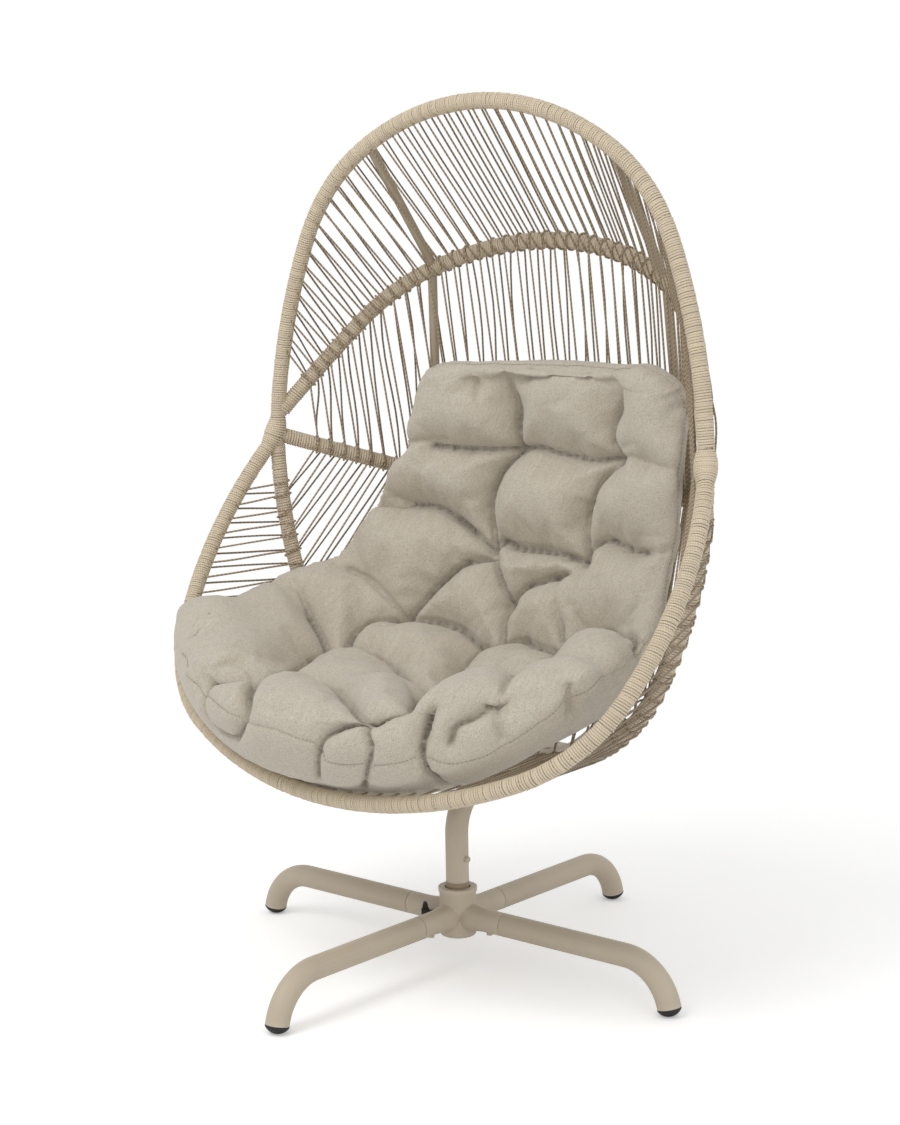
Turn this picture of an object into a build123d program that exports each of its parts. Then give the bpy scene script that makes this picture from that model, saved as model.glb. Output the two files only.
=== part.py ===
"""Pod chair: a corded egg-shaped basket on a bent post that swivels in a four-legged hub.

Frame: origin on the floor under the swivel axis, +Z up, -Y towards the front of the
chair. Left and right are as seen facing the chair, so right is +X. Millimetres.
"""

from build123d import *
from math import cos, degrees, hypot, radians, sin, sqrt
import os

os.makedirs("parts", exist_ok=True)

# ---- base -----------------------------------------------------------------------
leg_diameter = 38.0
leg_wall = 2.0
leg_axis_height = 80.5        # centre line of the straight stretch of each leg
leg_straight_end = 343.0      # distance from the swivel axis where the bend starts
leg_bend_radius = 85.0
leg_bend_angle = 78.0
leg_spigot_length = 42.0      # reduced end that goes into the hub's stub
leg_spigot_clearance = 0.1
leg_seam = 1.0                # open line between the hub's stub and the leg
foot_lip = 3.0                # visible rim of the end plug
foot_stem_length = 18.0
foot_stem_wall = 2.5

hub_barrel_diameter = 60.5
hub_collar_diameter = 64.0
hub_collar_height = 7.0
hub_bottom = 46.0
hub_top = 128.0
hub_bottom_round = 5.0
stub_end = 100.0              # distance from the swivel axis to the leg seam
stub_root_diameter = 44.0
stub_taper_end = 62.0
stub_wall = 3.0
stub_fillet = 5.0
hub_bore = 36.0
hub_mouth_bore = 43.0
hub_mouth_depth = 8.0
hub_foot_bore = 50.0
hub_foot_depth = 14.0

leg_bolt_distance = 67.5
leg_bolt_shank = 6.0
leg_bolt_head = 10.0
leg_bolt_head_height = 4.0

knob_direction = 225.0        # between the front leg and the left leg
knob_axis_height = 85.0
knob_hub_face = 47.5          # distance from the swivel axis to the inner face of the knob
knob_hub_diameter = 15.0
knob_hub_length = 13.0
knob_wing_span = 37.0
knob_wing_thickness = 7.0
knob_stud_diameter = 8.0
knob_stud_gap = 1.5           # between the tip of the loosened stud and the spindle
knob_boss_diameter = 16.0
knob_boss_reach = 38.0

# ---- swivel ---------------------------------------------------------------------
spindle_diameter = 30.0
running_clearance = 0.1
bush_length = 22.0
bush_flange_diameter = 39.0
lower_flange_diameter = 46.0
lower_flange_height = 4.0
seat_gap = 0.3                # axial play at the upper bush
bush_rise = 8.7               # how far the upper bush stands out of the hub
washer_diameter = 44.0
washer_height = 3.0
spindle_bolt_diameter = 12.0
spindle_bolt_length = 36.0
spindle_bolt_head_height = 5.0

# ---- post -----------------------------------------------------------------------
post_diameter = 38.0
post_wall = 2.5
post_bend_radius = 80.0
post_run_end = 268.0          # how far back the horizontal run reaches
spindle_in_post = 72.0
post_screw_height = 177.0
post_screw_diameter = 8.0
post_screw_head_diameter = 10.0
post_screw_head_height = 7.0
post_cap_lip = 3.0
post_cap_stem = 15.0

# ---- basket frame ---------------------------------------------------------------
hoop_tube_diameter = 22.0
hoop_tube_wall = 1.5
wrap_diameter = 27.0          # over the cord wound round the hoops
wrap_clearance = 0.1
side_joint_y = 63.0
side_joint_height = 846.0
basket_half_width = 451.0
drawn_half_width = 451.0      # half width that the shapes and sections below are given for
upper_hoop_offset = 32.0      # how far above the side joint the upper hoop starts
mitre_allowance = 12.0        # how far a hoop is run past the side joint before mitring
mitre_reach = 120.0

# Each hoop is a three-centred arch in its own tilted plane through the side joints:
# depth, crown radius, shoulder radius, side radius, angle of the end tangent, tilt of
# the plane from the horizontal backward direction. A wider basket keeps these depths
# and stretches the arcs sideways.
arch_shape = (556.0, 482.0, 312.0, 935.0, 88.7, 87.7)
rim_shape = (619.0, 733.0, 258.0, 609.0, 110.3, -125.2)
upper_shape = (362.0, 496.0, 290.0, 2445.0, 65.1, 55.5)
lower_shape = (281.0, 756.0, 242.0, 3559.0, 55.5, -21.3)
seat_shape = (515.0, 678.0, 276.0, 725.0, 90.0, -90.0)

stay_diameter = 16.0
stay_wall = 1.2
crown_stay_top = 252.0        # distance from the middle of the two stays at the arch
crown_stay_foot = 246.0       # and at the upper hoop
back_stay_top = 250.0
back_stay_foot = 264.0
stay_shift = 14.0             # how far the stays' middle stands to the right, at the upper hoop and above

rail_diameter = 22.0
rail_wall = 1.5
rail_spread = 100.0           # distance of each seat rail from the centre plane
rail_corner_back = 222.0      # how far behind the side joints
rail_corner_radius = 120.0
rail_top_spread = 235.0       # where the rail meets the lower hoop

bracket_length = 250.0
bracket_width = 40.0
bracket_thickness = 5.0
saddle_width = 30.0
saddle_height = 6.0           # thickness of the block between the post and the plate
bracket_positions = {"front": 125.0, "rear": 225.0}
mount_bolt_diameter = 8.0
mount_bolt_head_diameter = 14.0
mount_bolt_head_height = 5.0
mount_bolt_clearance = 0.2

# ---- cord webs ------------------------------------------------------------------
cord_diameter = 3.6
cord_end_gap = 0.2
turn_gap = 8.0                # between the two strands of one turn round a hoop
crown_web_turns = 40
back_web_turns = 32
lumbar_web_turns = 30
seat_web_turns = 30

# ---- cushion --------------------------------------------------------------------
# Sections in planes turned about the line through the two side joints. Each row is:
# angle, then half width and depth of the lower corner, depth below the middle,
# half width and depth of the upper corner, depth of the sitting face.
cushion_sections = (
    (-139.0, 330.0, 440.0, 545.0, 350.0, 405.0, 505.0),
    (-131.0, 410.0, 450.0, 610.0, 462.0, 345.0, 458.0),
    (-125.2, 395.0, 440.0, 605.2, 448.0, 345.0, 438.0),
    (-106.0, 370.0, 390.0, 518.0, 420.0, 270.0, 372.0),
    (-90.0, 345.0, 345.0, 501.2, 385.0, 225.0, 325.0),
    (-72.0, 325.0, 240.0, 344.0, 345.0, 140.0, 206.0),
    (-45.0, 310.0, 150.0, 269.0, 325.0, 60.0, 130.0),
    (-21.3, 295.0, 135.0, 266.5, 310.0, 45.0, 112.0),
    (2.0, 290.0, 120.0, 233.0, 300.0, 40.0, 106.0),
    (20.0, 275.0, 125.0, 232.0, 288.0, 55.0, 116.0),
    (36.0, 262.0, 145.0, 226.0, 275.0, 88.0, 136.0),
    (45.0, 240.0, 165.0, 214.0, 250.0, 125.0, 156.0),
)
cushion_lean = 0.25           # sideways shift of a section for each degree above -90

legs = {"front": -90.0, "right": 0.0, "rear": 90.0, "left": 180.0}
sides = {"left": -1, "right": 1}


def save(name, *solids):
    """Write one node; its solids stay separate."""
    shape = solids[0] if len(solids) == 1 else Compound(children=list(solids))
    export_step(shape, f"parts/{name}.step")


def save_in_basket(name, *solids):
    save(name, *[basket_place * solid for solid in solids])


def turned(shape, angle):
    return Rot(0, 0, angle) * shape


def cylinder_between(start, end, radius):
    length = (end - start).length
    return extrude(Plane(origin=start, z_dir=end - start) * Circle(radius), length)


# ---- round tube along lines and arcs --------------------------------------------
def tube_along(edges, outer_radius, inner_radius=0.0):
    """Sweep a ring along straight and circular edges that follow each other."""
    body = None
    for edge in edges:
        section = Plane(origin=edge @ 0, z_dir=edge % 0) * Circle(outer_radius)
        if inner_radius:
            section -= Plane(origin=edge @ 0, z_dir=edge % 0) * Circle(inner_radius)
        if edge.geom_type == GeomType.CIRCLE:
            centre = edge.arc_center
            normal = (edge @ 0 - centre).cross(edge % 0)
            turn = degrees(edge.length / edge.radius)
            piece = revolve(section, Axis(centre, normal), turn)
        else:
            piece = extrude(section, edge.length, dir=edge % 0)
        body = piece if body is None else body + piece
    return body


# ---- base -----------------------------------------------------------------------
def leg_path():
    start = stub_end + leg_seam
    straight = Line((start, 0, leg_axis_height), (leg_straight_end, 0, leg_axis_height))
    drop = leg_bend_radius * (1 - cos(radians(leg_bend_angle)))
    reach = leg_bend_radius * sin(radians(leg_bend_angle))
    half = radians(leg_bend_angle / 2)
    bend = ThreePointArc(
        (leg_straight_end, 0, leg_axis_height),
        (leg_straight_end + leg_bend_radius * sin(half), 0,
         leg_axis_height - leg_bend_radius * (1 - cos(half))),
        (leg_straight_end + reach, 0, leg_axis_height - drop),
    )
    return [straight, bend]


def foot_plane():
    bend = leg_path()[1]
    return Plane(origin=bend @ 1, z_dir=bend % 1)


def make_leg(angle):
    radius = leg_diameter / 2
    tube = tube_along(leg_path(), radius, radius - leg_wall)
    spigot_radius = radius - stub_wall - leg_spigot_clearance
    spigot = Plane(origin=(stub_end - leg_spigot_length, 0, leg_axis_height), z_dir=(1, 0, 0)) * (
        extrude(Circle(spigot_radius) - Circle(spigot_radius - leg_wall), leg_spigot_length + leg_seam)
    )
    shoulder = Plane(origin=(stub_end + leg_seam, 0, leg_axis_height), z_dir=(1, 0, 0)) * extrude(
        Circle(radius) - Circle(spigot_radius - leg_wall), leg_wall
    )
    leg = tube + spigot + shoulder
    hole = Pos(leg_bolt_distance, 0, leg_axis_height - radius) * Cylinder(leg_bolt_shank / 2, radius)
    return turned(leg - hole, angle)


def make_foot_plug(angle):
    radius = leg_diameter / 2
    place = foot_plane()
    tip = place.origin.Z / -place.z_dir.Z
    dome_height = tip - foot_lip
    dome_radius = (radius**2 + dome_height**2) / (2 * dome_height)
    lip = extrude(Circle(radius), foot_lip)
    ball = Pos(0, 0, tip - dome_radius) * Sphere(dome_radius)
    dome = ball & (Pos(0, 0, foot_lip + dome_radius) * Box(4 * radius, 4 * radius, 2 * dome_radius))
    stem_radius = radius - leg_wall
    bend = leg_path()[1]
    held = bend.trim(1 - foot_stem_length / bend.length, 1)
    stem = tube_along([held], stem_radius, stem_radius - foot_stem_wall)
    plug = place * (lip + dome) + stem
    floor = Pos(0, 0, -leg_diameter) * Box(4000, 4000, 2 * leg_diameter)
    return turned(plug - floor, angle)


def make_hub():
    barrel = Pos(0, 0, hub_bottom) * extrude(Circle(hub_barrel_diameter / 2), hub_top - hub_bottom)
    collar = Pos(0, 0, hub_top - hub_collar_height) * extrude(
        Circle(hub_collar_diameter / 2), hub_collar_height
    )
    bottom_edge = barrel.edges().sort_by(Axis.Z)[0]
    hub = fillet(bottom_edge, hub_bottom_round)
    stub_radius = leg_diameter / 2
    for angle in legs.values():
        profile = make_face(Polyline(
            (0, 0), (0, stub_root_diameter / 2),
            (hub_barrel_diameter / 2, stub_root_diameter / 2),
            (stub_taper_end, stub_radius), (stub_end, stub_radius), (stub_end, 0), (0, 0),
        ))
        stub = revolve(Plane.XZ * profile, Axis.X)
        hub += turned(Pos(0, 0, leg_axis_height) * stub, angle)
    hub = fillet(stub_root_edges(hub), stub_fillet)
    boss_start = Vector(0, 0, knob_axis_height)
    knob_dir = Vector(cos(radians(knob_direction)), sin(radians(knob_direction)), 0)
    hub += cylinder_between(boss_start, boss_start + knob_dir * knob_boss_reach, knob_boss_diameter / 2)
    hub += collar
    hub -= Pos(0, 0, hub_bottom) * extrude(Circle(hub_bore / 2), hub_top - hub_bottom)
    hub -= Pos(0, 0, hub_top) * extrude(Circle(hub_mouth_bore / 2), -hub_mouth_depth)
    hub -= Pos(0, 0, hub_bottom) * extrude(Circle(hub_foot_bore / 2), hub_foot_depth)
    socket_start = stub_end - leg_spigot_length - leg_spigot_clearance
    for angle in legs.values():
        socket = Plane(origin=(socket_start, 0, leg_axis_height), z_dir=(1, 0, 0)) * extrude(
            Circle(stub_radius - stub_wall), stub_end - socket_start
        )
        hole = Pos(leg_bolt_distance, 0, leg_axis_height - stub_radius) * Cylinder(
            leg_bolt_shank / 2, stub_radius
        )
        hub -= turned(socket + hole, angle)
    hub -= cylinder_between(boss_start, boss_start + knob_dir * 2 * knob_boss_reach,
                            knob_stud_diameter / 2 + running_clearance)
    return hub


def stub_root_edges(hub):
    """The four closed-in seams where the stubs run into the barrel."""
    barrel_radius = hub_barrel_diameter / 2
    found = []
    for edge in hub.edges():
        middle = edge @ 0.5
        near_barrel = abs(hypot(middle.X, middle.Y) - barrel_radius) < 0.5
        inside_height = hub_bottom + hub_bottom_round + 1 < middle.Z < hub_top - 1
        if near_barrel and inside_height and edge.geom_type != GeomType.LINE:
            found.append(edge)
    return found


def make_leg_bolts():
    bolts = []
    head_top = leg_axis_height - leg_diameter / 2
    for angle in legs.values():
        shank = Pos(leg_bolt_distance, 0, head_top) * extrude(
            Circle(leg_bolt_shank / 2), stub_wall + leg_wall + 5
        )
        head = Pos(leg_bolt_distance, 0, head_top) * extrude(
            Circle(leg_bolt_head / 2), -leg_bolt_head_height
        )
        bolts.append(turned(shank + head, angle))
    return bolts


def make_lock_knob():
    knob_dir = Vector(cos(radians(knob_direction)), sin(radians(knob_direction)), 0)
    centre = Vector(0, 0, knob_axis_height)
    place = Plane(origin=centre + knob_dir * knob_hub_face, z_dir=knob_dir, x_dir=(0, 0, 1))
    body = extrude(Circle(knob_hub_diameter / 2), knob_hub_length)
    tip_radius = knob_wing_thickness / 2
    span = knob_wing_span / 2 - tip_radius
    outline = make_hull([
        *CenterArc((0, 0), knob_hub_length / 2, 0, 360).edges(),
        *CenterArc((span, 0), tip_radius, 0, 360).edges(),
        *CenterArc((-span, 0), tip_radius, 0, 360).edges(),
    ])
    wing = Pos(0, 0, knob_hub_length / 2) * extrude(
        Plane.XZ * outline, knob_wing_thickness / 2, both=True
    )
    stud_start = centre + knob_dir * (spindle_diameter / 2 + knob_stud_gap)
    stud = cylinder_between(stud_start, centre + knob_dir * (knob_hub_face + 2), knob_stud_diameter / 2)
    return place * (body + wing) + stud


# ---- swivel ---------------------------------------------------------------------
post_start = hub_top + bush_rise + seat_gap
upper_bush_bottom = hub_top - hub_mouth_depth - bush_length
lower_flange_bottom = hub_bottom + hub_foot_depth - lower_flange_height
spindle_bottom = lower_flange_bottom - seat_gap


def make_upper_bush():
    bore = spindle_diameter / 2 + running_clearance
    sleeve = Pos(0, 0, upper_bush_bottom) * extrude(Circle(hub_bore / 2), bush_length)
    flange = Pos(0, 0, hub_top - hub_mouth_depth) * extrude(
        Circle(bush_flange_diameter / 2), hub_mouth_depth + bush_rise
    )
    bush = sleeve + flange
    return bush - Pos(0, 0, upper_bush_bottom) * extrude(Circle(bore), 2 * bush_length + bush_rise)


def make_lower_bush():
    bore = spindle_diameter / 2 + running_clearance
    sleeve = Pos(0, 0, lower_flange_bottom) * extrude(Circle(hub_bore / 2), bush_length)
    flange = Pos(0, 0, lower_flange_bottom) * extrude(
        Circle(lower_flange_diameter / 2), lower_flange_height
    )
    return sleeve + flange - Pos(0, 0, lower_flange_bottom) * extrude(Circle(bore), bush_length)


def make_spindle():
    shaft = Pos(0, 0, spindle_bottom) * extrude(Circle(spindle_diameter / 2), post_start - spindle_bottom)
    head = Pos(0, 0, post_start) * extrude(Circle(post_diameter / 2 - post_wall), spindle_in_post)
    thread = Pos(0, 0, spindle_bottom) * extrude(Circle(spindle_bolt_diameter / 2), spindle_bolt_length)
    cross = Pos(0, 0, post_screw_height) * Rot(0, 90, 0) * extrude(
        Circle(post_screw_diameter / 2), post_diameter
    )
    return shaft + head - thread - cross


def make_thrust_washer():
    return Pos(0, 0, spindle_bottom - washer_height) * extrude(
        Circle(washer_diameter / 2) - Circle(spindle_bolt_diameter / 2), washer_height
    )


def make_spindle_bolt():
    head_top = spindle_bottom - washer_height
    head = Pos(0, 0, head_top) * extrude(
        RegularPolygon(0.8 * spindle_bolt_diameter, 6, major_radius=False), -spindle_bolt_head_height
    )
    shank = Pos(0, 0, head_top) * extrude(
        Circle(spindle_bolt_diameter / 2), washer_height + spindle_bolt_length
    )
    return head + shank


# ---- hoops ----------------------------------------------------------------------
def hoop_plane(tilt, start):
    angle = radians(tilt)
    return Plane(origin=(0, start.Y, start.Z), x_dir=(1, 0, 0), z_dir=(0, -sin(angle), cos(angle)))


stretch = basket_half_width / drawn_half_width


def arch_half(shape, half_width):
    """Centre, radius and end points of the crown, shoulder and side arcs, right half."""
    depth, crown, shoulder, side, end_angle, _ = shape
    crown, shoulder, side = crown * stretch**2, shoulder * stretch, side / stretch
    end = Vector(half_width, 0)
    lean = radians(end_angle)
    side_centre = Vector(half_width - side * sin(lean), -side * cos(lean))
    crown_centre = Vector(0, depth - crown)
    to_crown, to_side = crown - shoulder, side - shoulder
    gap = side_centre - crown_centre
    along = (to_crown**2 - to_side**2 + gap.length**2) / (2 * gap.length)
    across = sqrt(max(to_crown**2 - along**2, 0.0))
    unit = gap.normalized()
    normal = Vector(-unit.Y, unit.X)
    options = [crown_centre + unit * along + normal * across * sign for sign in (1, -1)]
    shoulder_centre = max(options, key=lambda point: point.X + point.Y)
    crown_end = crown_centre + (shoulder_centre - crown_centre).normalized() * crown
    side_start = side_centre + (shoulder_centre - side_centre).normalized() * side
    return [
        (crown_centre, crown, Vector(0, depth), crown_end),
        (shoulder_centre, shoulder, crown_end, side_start),
        (side_centre, side, side_start, end),
    ]


def arc_between(centre, radius, start, end):
    middle = centre + ((start - centre).normalized() + (end - centre).normalized()).normalized() * radius
    return ThreePointArc(start, middle, end)


def mirrored(point):
    return Vector(-point.X, point.Y)


def hoop_edges(shape, half_width, start):
    """Left side arc, left shoulder, crown, right shoulder, right side arc, placed in space."""
    crown, shoulder, side = arch_half(shape, half_width)
    crown_end = crown[3]
    flat = [
        arc_between(mirrored(side[0]), side[1], mirrored(side[3]), mirrored(side[2])),
        arc_between(mirrored(shoulder[0]), shoulder[1], mirrored(shoulder[3]), mirrored(shoulder[2])),
        ThreePointArc(mirrored(crown_end), crown[2], crown_end),
        arc_between(*shoulder),
        arc_between(*side),
    ]
    plane = hoop_plane(shape[5], start)
    return [(plane * edge).edge() for edge in flat]


def arch_width_above_joint(height):
    centre, radius = arch_half(arch_shape, basket_half_width)[2][:2]
    return centre.X + sqrt(radius**2 - (height - centre.Y) ** 2)


# The basket is drawn about the middle of the line through its two side joints.
joint_start = Vector(0, 0, 0)
upper_start = Vector(
    0,
    upper_hoop_offset * cos(radians(arch_shape[5])),
    upper_hoop_offset * sin(radians(arch_shape[5])),
)
basket_place = Pos(0, side_joint_y, side_joint_height)
hoops = {
    "arch": hoop_edges(arch_shape, basket_half_width, joint_start),
    "rim": hoop_edges(rim_shape, basket_half_width, joint_start),
    "upper_hoop": hoop_edges(upper_shape, arch_width_above_joint(upper_hoop_offset), upper_start),
    "lower_hoop": hoop_edges(lower_shape, basket_half_width, joint_start),
    "seat_hoop": hoop_edges(seat_shape, basket_half_width, joint_start),
}


def hoop_at(name, share):
    """Point and direction on a hoop, by the share of its length from the left end."""
    edges = hoops[name]
    target = share * sum(edge.length for edge in edges)
    for edge in edges:
        if target <= edge.length or edge is edges[-1]:
            local = min(target / edge.length, 1.0)
            return edge @ local, edge % local
        target -= edge.length


def hoop_at_x(name, x):
    low, high = 0.0, 1.0
    for _ in range(40):
        middle = (low + high) / 2
        if hoop_at(name, middle)[0].X < x:
            low = middle
        else:
            high = middle
    return hoop_at(name, middle)[0]


def direction_from_joint(name, sign):
    edges = hoops[name]
    return edges[0] % 0 if sign < 0 else -(edges[-1] % 1)


def hoop_bar(name, radius):
    """A solid bar along one hoop. At each side joint it is mitred against every other
    hoop that meets there, so that each keeps the space nearest to its own direction."""
    edges = hoops[name]
    if name not in joint_hoops:
        return tube_along(edges, radius)
    first, last = edges[0], edges[-1]
    lead = Line(first @ 0 - (first % 0) * mitre_allowance, first @ 0)
    tail = Line(last @ 1, last @ 1 + (last % 1) * mitre_allowance)
    bar = tube_along([lead.edge(), *edges, tail.edge()], radius)
    size = mitre_reach
    for sign in sides.values():
        joint = first @ 0 if sign < 0 else last @ 1
        own = direction_from_joint(name, sign)
        for other in joint_hoops:
            if other != name:
                plane = Plane(origin=joint, z_dir=direction_from_joint(other, sign) - own)
                bar -= plane * Pos(0, 0, size / 2) * Box(size, size, size)
    return bar


joint_hoops = ["arch", "rim", "seat_hoop", "lower_hoop"]


def make_hoop_tubes():
    """Steel tubes; the upper hoop's ends are coped onto the arch."""
    radius = hoop_tube_diameter / 2
    bars = {name: hoop_bar(name, radius) for name in hoops}
    tubes = {}
    for name in hoops:
        tubes[name] = coped(bars[name], [hoop_bar(name, radius - hoop_tube_wall)])
    tubes["upper_hoop"] = coped(tubes["upper_hoop"], [bars["arch"]])
    return bars, tubes


def make_hoop_wraps(bars):
    """The cord wound round each tube, as a plain sleeve."""
    outer = {name: hoop_bar(name, wrap_diameter / 2) for name in hoops}
    bore = hoop_tube_diameter / 2 + wrap_clearance
    wraps = {name: coped(outer[name], [hoop_bar(name, bore)]) for name in hoops}
    wraps["upper_hoop"] = coped(wraps["upper_hoop"], [outer["arch"]])
    wraps["arch"] = coped(wraps["arch"], [bars["upper_hoop"]])
    return outer, wraps


def coped(shape, neighbours):
    """What is left of a bar outside its neighbours, without the offcuts inside them."""
    for neighbour in neighbours:
        shape = largest(shape - neighbour)
    return shape


def largest(shape):
    return max(shape.solids(), key=lambda solid: solid.volume)


# ---- stays and rails ------------------------------------------------------------
def coped_tube(edges, diameter, wall, neighbours):
    return coped(tube_along(edges, diameter / 2, diameter / 2 - wall), neighbours)


def stay_path(top_hoop, top_x, foot_hoop, foot_x):
    top = hoop_at_x(top_hoop, top_x * stretch)
    foot = hoop_at_x(foot_hoop, foot_x * stretch)
    return Line(top, foot).edge()


def crown_stay_path(sign):
    top_x = sign * crown_stay_top + stay_shift
    foot_x = sign * crown_stay_foot + stay_shift
    return stay_path("arch", top_x, "upper_hoop", foot_x)


def back_stay_path(sign):
    top_x = sign * back_stay_top + stay_shift
    return stay_path("upper_hoop", top_x, "lower_hoop", sign * back_stay_foot)


def rail_drop():
    """How far the rails run below the side joints; negative is down."""
    return hoop_at_x("seat_hoop", rail_spread).Z


def rail_path(sign):
    start = hoop_at_x("seat_hoop", sign * rail_spread)
    corner = Vector(sign * rail_spread, rail_corner_back, start.Z)
    end = hoop_at_x("lower_hoop", sign * rail_top_spread * stretch)
    return FilletPolyline(start, corner, end, radius=rail_corner_radius)


def make_stay(path, top_bar, foot_bar):
    return coped_tube([path], stay_diameter, stay_wall, [top_bar, foot_bar])


def make_rail(sign, bars):
    path = rail_path(sign)
    rail = coped_tube(path.edges(), rail_diameter, rail_wall, [bars["seat_hoop"], bars["lower_hoop"]])
    for y in bracket_positions.values():
        rail -= Pos(sign * rail_spread, y - side_joint_y, rail_drop() - rail_diameter / 2) * Cylinder(
            mount_bolt_diameter / 2 + mount_bolt_clearance, rail_diameter
        )
    return rail


# ---- post and brackets ----------------------------------------------------------
def bracket_bottom():
    return side_joint_height + rail_drop() - rail_diameter / 2 - bracket_thickness


def run_height():
    return bracket_bottom() - saddle_height - post_diameter / 2


def post_path():
    bend_start = run_height() - post_bend_radius
    half = radians(45)
    upright = Line((0, 0, post_start), (0, 0, bend_start))
    bend = ThreePointArc(
        (0, 0, bend_start),
        (0, post_bend_radius * (1 - cos(half)), bend_start + post_bend_radius * sin(half)),
        (0, post_bend_radius, run_height()),
    )
    run = Line((0, post_bend_radius, run_height()), (0, post_run_end, run_height()))
    return [upright.edge(), bend.edge(), run.edge()]


def make_post():
    radius = post_diameter / 2
    post = tube_along(post_path(), radius, radius - post_wall)
    hole = Pos(0, 0, post_screw_height) * Rot(0, 90, 0) * extrude(
        Circle(post_screw_diameter / 2), post_diameter
    )
    return post - hole


def make_post_cap():
    radius = post_diameter / 2
    place = Plane(origin=(0, post_run_end, run_height()), z_dir=(0, 1, 0))
    lip = extrude(Circle(radius), post_cap_lip)
    stem = extrude(Circle(radius - post_wall) - Circle(radius - 2 * post_wall), -post_cap_stem)
    return place * (fillet(lip.edges().sort_by(Axis.Z)[-1], post_cap_lip / 2) + stem)


def make_post_screw():
    start = post_diameter / 2
    head = Pos(start, 0, post_screw_height) * Rot(0, 90, 0) * extrude(
        Circle(post_screw_head_diameter / 2), post_screw_head_height
    )
    rim_edge = head.edges().sort_by(Axis.X)[-1]
    head = fillet(rim_edge, post_screw_head_height / 3)
    shank = Pos(2, 0, post_screw_height) * Rot(0, 90, 0) * extrude(
        Circle(post_screw_diameter / 2), start - 2
    )
    return head + shank


def make_bracket(y):
    bottom = bracket_bottom()
    plate = Pos(0, y, bottom) * extrude(
        RectangleRounded(bracket_length, bracket_width, bracket_width / 5), bracket_thickness
    )
    saddle_depth = saddle_height + post_diameter / 4
    saddle = Pos(0, y, bottom) * extrude(Rectangle(saddle_width, bracket_width), -saddle_depth)
    run = Plane(origin=(0, y - bracket_width, run_height()), z_dir=(0, 1, 0)) * extrude(
        Circle(post_diameter / 2), 2 * bracket_width
    )
    bracket = plate + saddle - run
    for sign in sides.values():
        bracket -= Pos(sign * rail_spread, y, bottom) * Cylinder(
            mount_bolt_diameter / 2 + mount_bolt_clearance, 4 * bracket_thickness
        )
    return bracket


def make_mount_bolts():
    bolts = []
    bottom = bracket_bottom()
    for y in bracket_positions.values():
        for sign in sides.values():
            head = Pos(sign * rail_spread, y, bottom) * extrude(
                Circle(mount_bolt_head_diameter / 2), -mount_bolt_head_height
            )
            shank = Pos(sign * rail_spread, y, bottom) * extrude(
                Circle(mount_bolt_diameter / 2), bracket_thickness + rail_diameter / 2
            )
            bolts.append(head + shank)
    return bolts


# ---- cord webs ------------------------------------------------------------------
def strand(start, start_dir, end, end_dir):
    """A straight strand between two hoops, cut back to the cord wound round each."""
    line = (end - start).normalized()
    radius = cord_diameter / 2
    ends = []
    for direction in (start_dir, end_dir):
        slope = abs(line.dot(direction))
        across = sqrt(1 - slope**2)
        ends.append((wrap_diameter / 2 + cord_end_gap + radius * slope) / across)
    first = start + line * ends[0]
    last = end - line * ends[1]
    section = Plane(origin=first, z_dir=line) * RegularPolygon(radius, 6)
    return extrude(section, (last - first).length, dir=line)


def make_web(upper_name, upper_span, lower_name, lower_span, turns, bars_through):
    """A zigzag of strands: each turn round a hoop holds two of them, turn_gap apart.
    Strands that would run into a bar between the hoops are left out."""
    lengths = [sum(edge.length for edge in hoops[name]) for name in (upper_name, lower_name)]
    strands = []
    for index in range(2 * turns):
        upper_turn = (index + 1) // 2
        lower_turn = index // 2 + 0.5
        side_step = 0.5 if index % 2 else -0.5
        upper_share = upper_span[0] + (upper_span[1] - upper_span[0]) * upper_turn / turns
        lower_share = lower_span[0] + (lower_span[1] - lower_span[0]) * lower_turn / turns
        upper_share -= side_step * turn_gap / lengths[0]
        lower_share += side_step * turn_gap / lengths[1]
        start, start_dir = hoop_at(upper_name, upper_share)
        end, end_dir = hoop_at(lower_name, lower_share)
        line = Line(start, end).edge()
        if all(line.distance_to(path) > spacing for path, spacing in bars_through):
            strands.append(strand(start, start_dir, end, end_dir))
    return strands


stay_spacing = (stay_diameter + cord_diameter) / 2 + cord_end_gap
rail_spacing = (rail_diameter + cord_diameter) / 2 + cord_end_gap


# ---- cushion --------------------------------------------------------------------
def make_cushion():
    faces = []
    for angle, low_x, low_s, below, high_x, high_s, face in cushion_sections:
        low_x, high_x = low_x * stretch, high_x * stretch
        shift = cushion_lean * (angle + 90)
        outline = Wire([
            ThreePointArc((-low_x, low_s), (0, below), (low_x, low_s)).edge(),
            Line((low_x, low_s), (high_x, high_s)).edge(),
            ThreePointArc((high_x, high_s), (0, face), (-high_x, high_s)).edge(),
            Line((-high_x, high_s), (-low_x, low_s)).edge(),
        ])
        faces.append(hoop_plane(angle, joint_start) * Pos(shift, 0, 0) * Face(outline))
    return loft(faces, ruled=True)


# ---- build ----------------------------------------------------------------------
save("hub", make_hub())
for name, angle in legs.items():
    save(f"leg_{name}", make_leg(angle))
    save(f"foot_plug_{name}", make_foot_plug(angle))
save("leg_bolts", *make_leg_bolts())
save("lock_knob", make_lock_knob())
save("upper_bush", make_upper_bush())
save("lower_bush", make_lower_bush())
save("spindle", make_spindle())
save("thrust_washer", make_thrust_washer())
save("spindle_bolt", make_spindle_bolt())
save("post", make_post())
save("post_cap", make_post_cap())
save("post_screw", make_post_screw())

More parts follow.
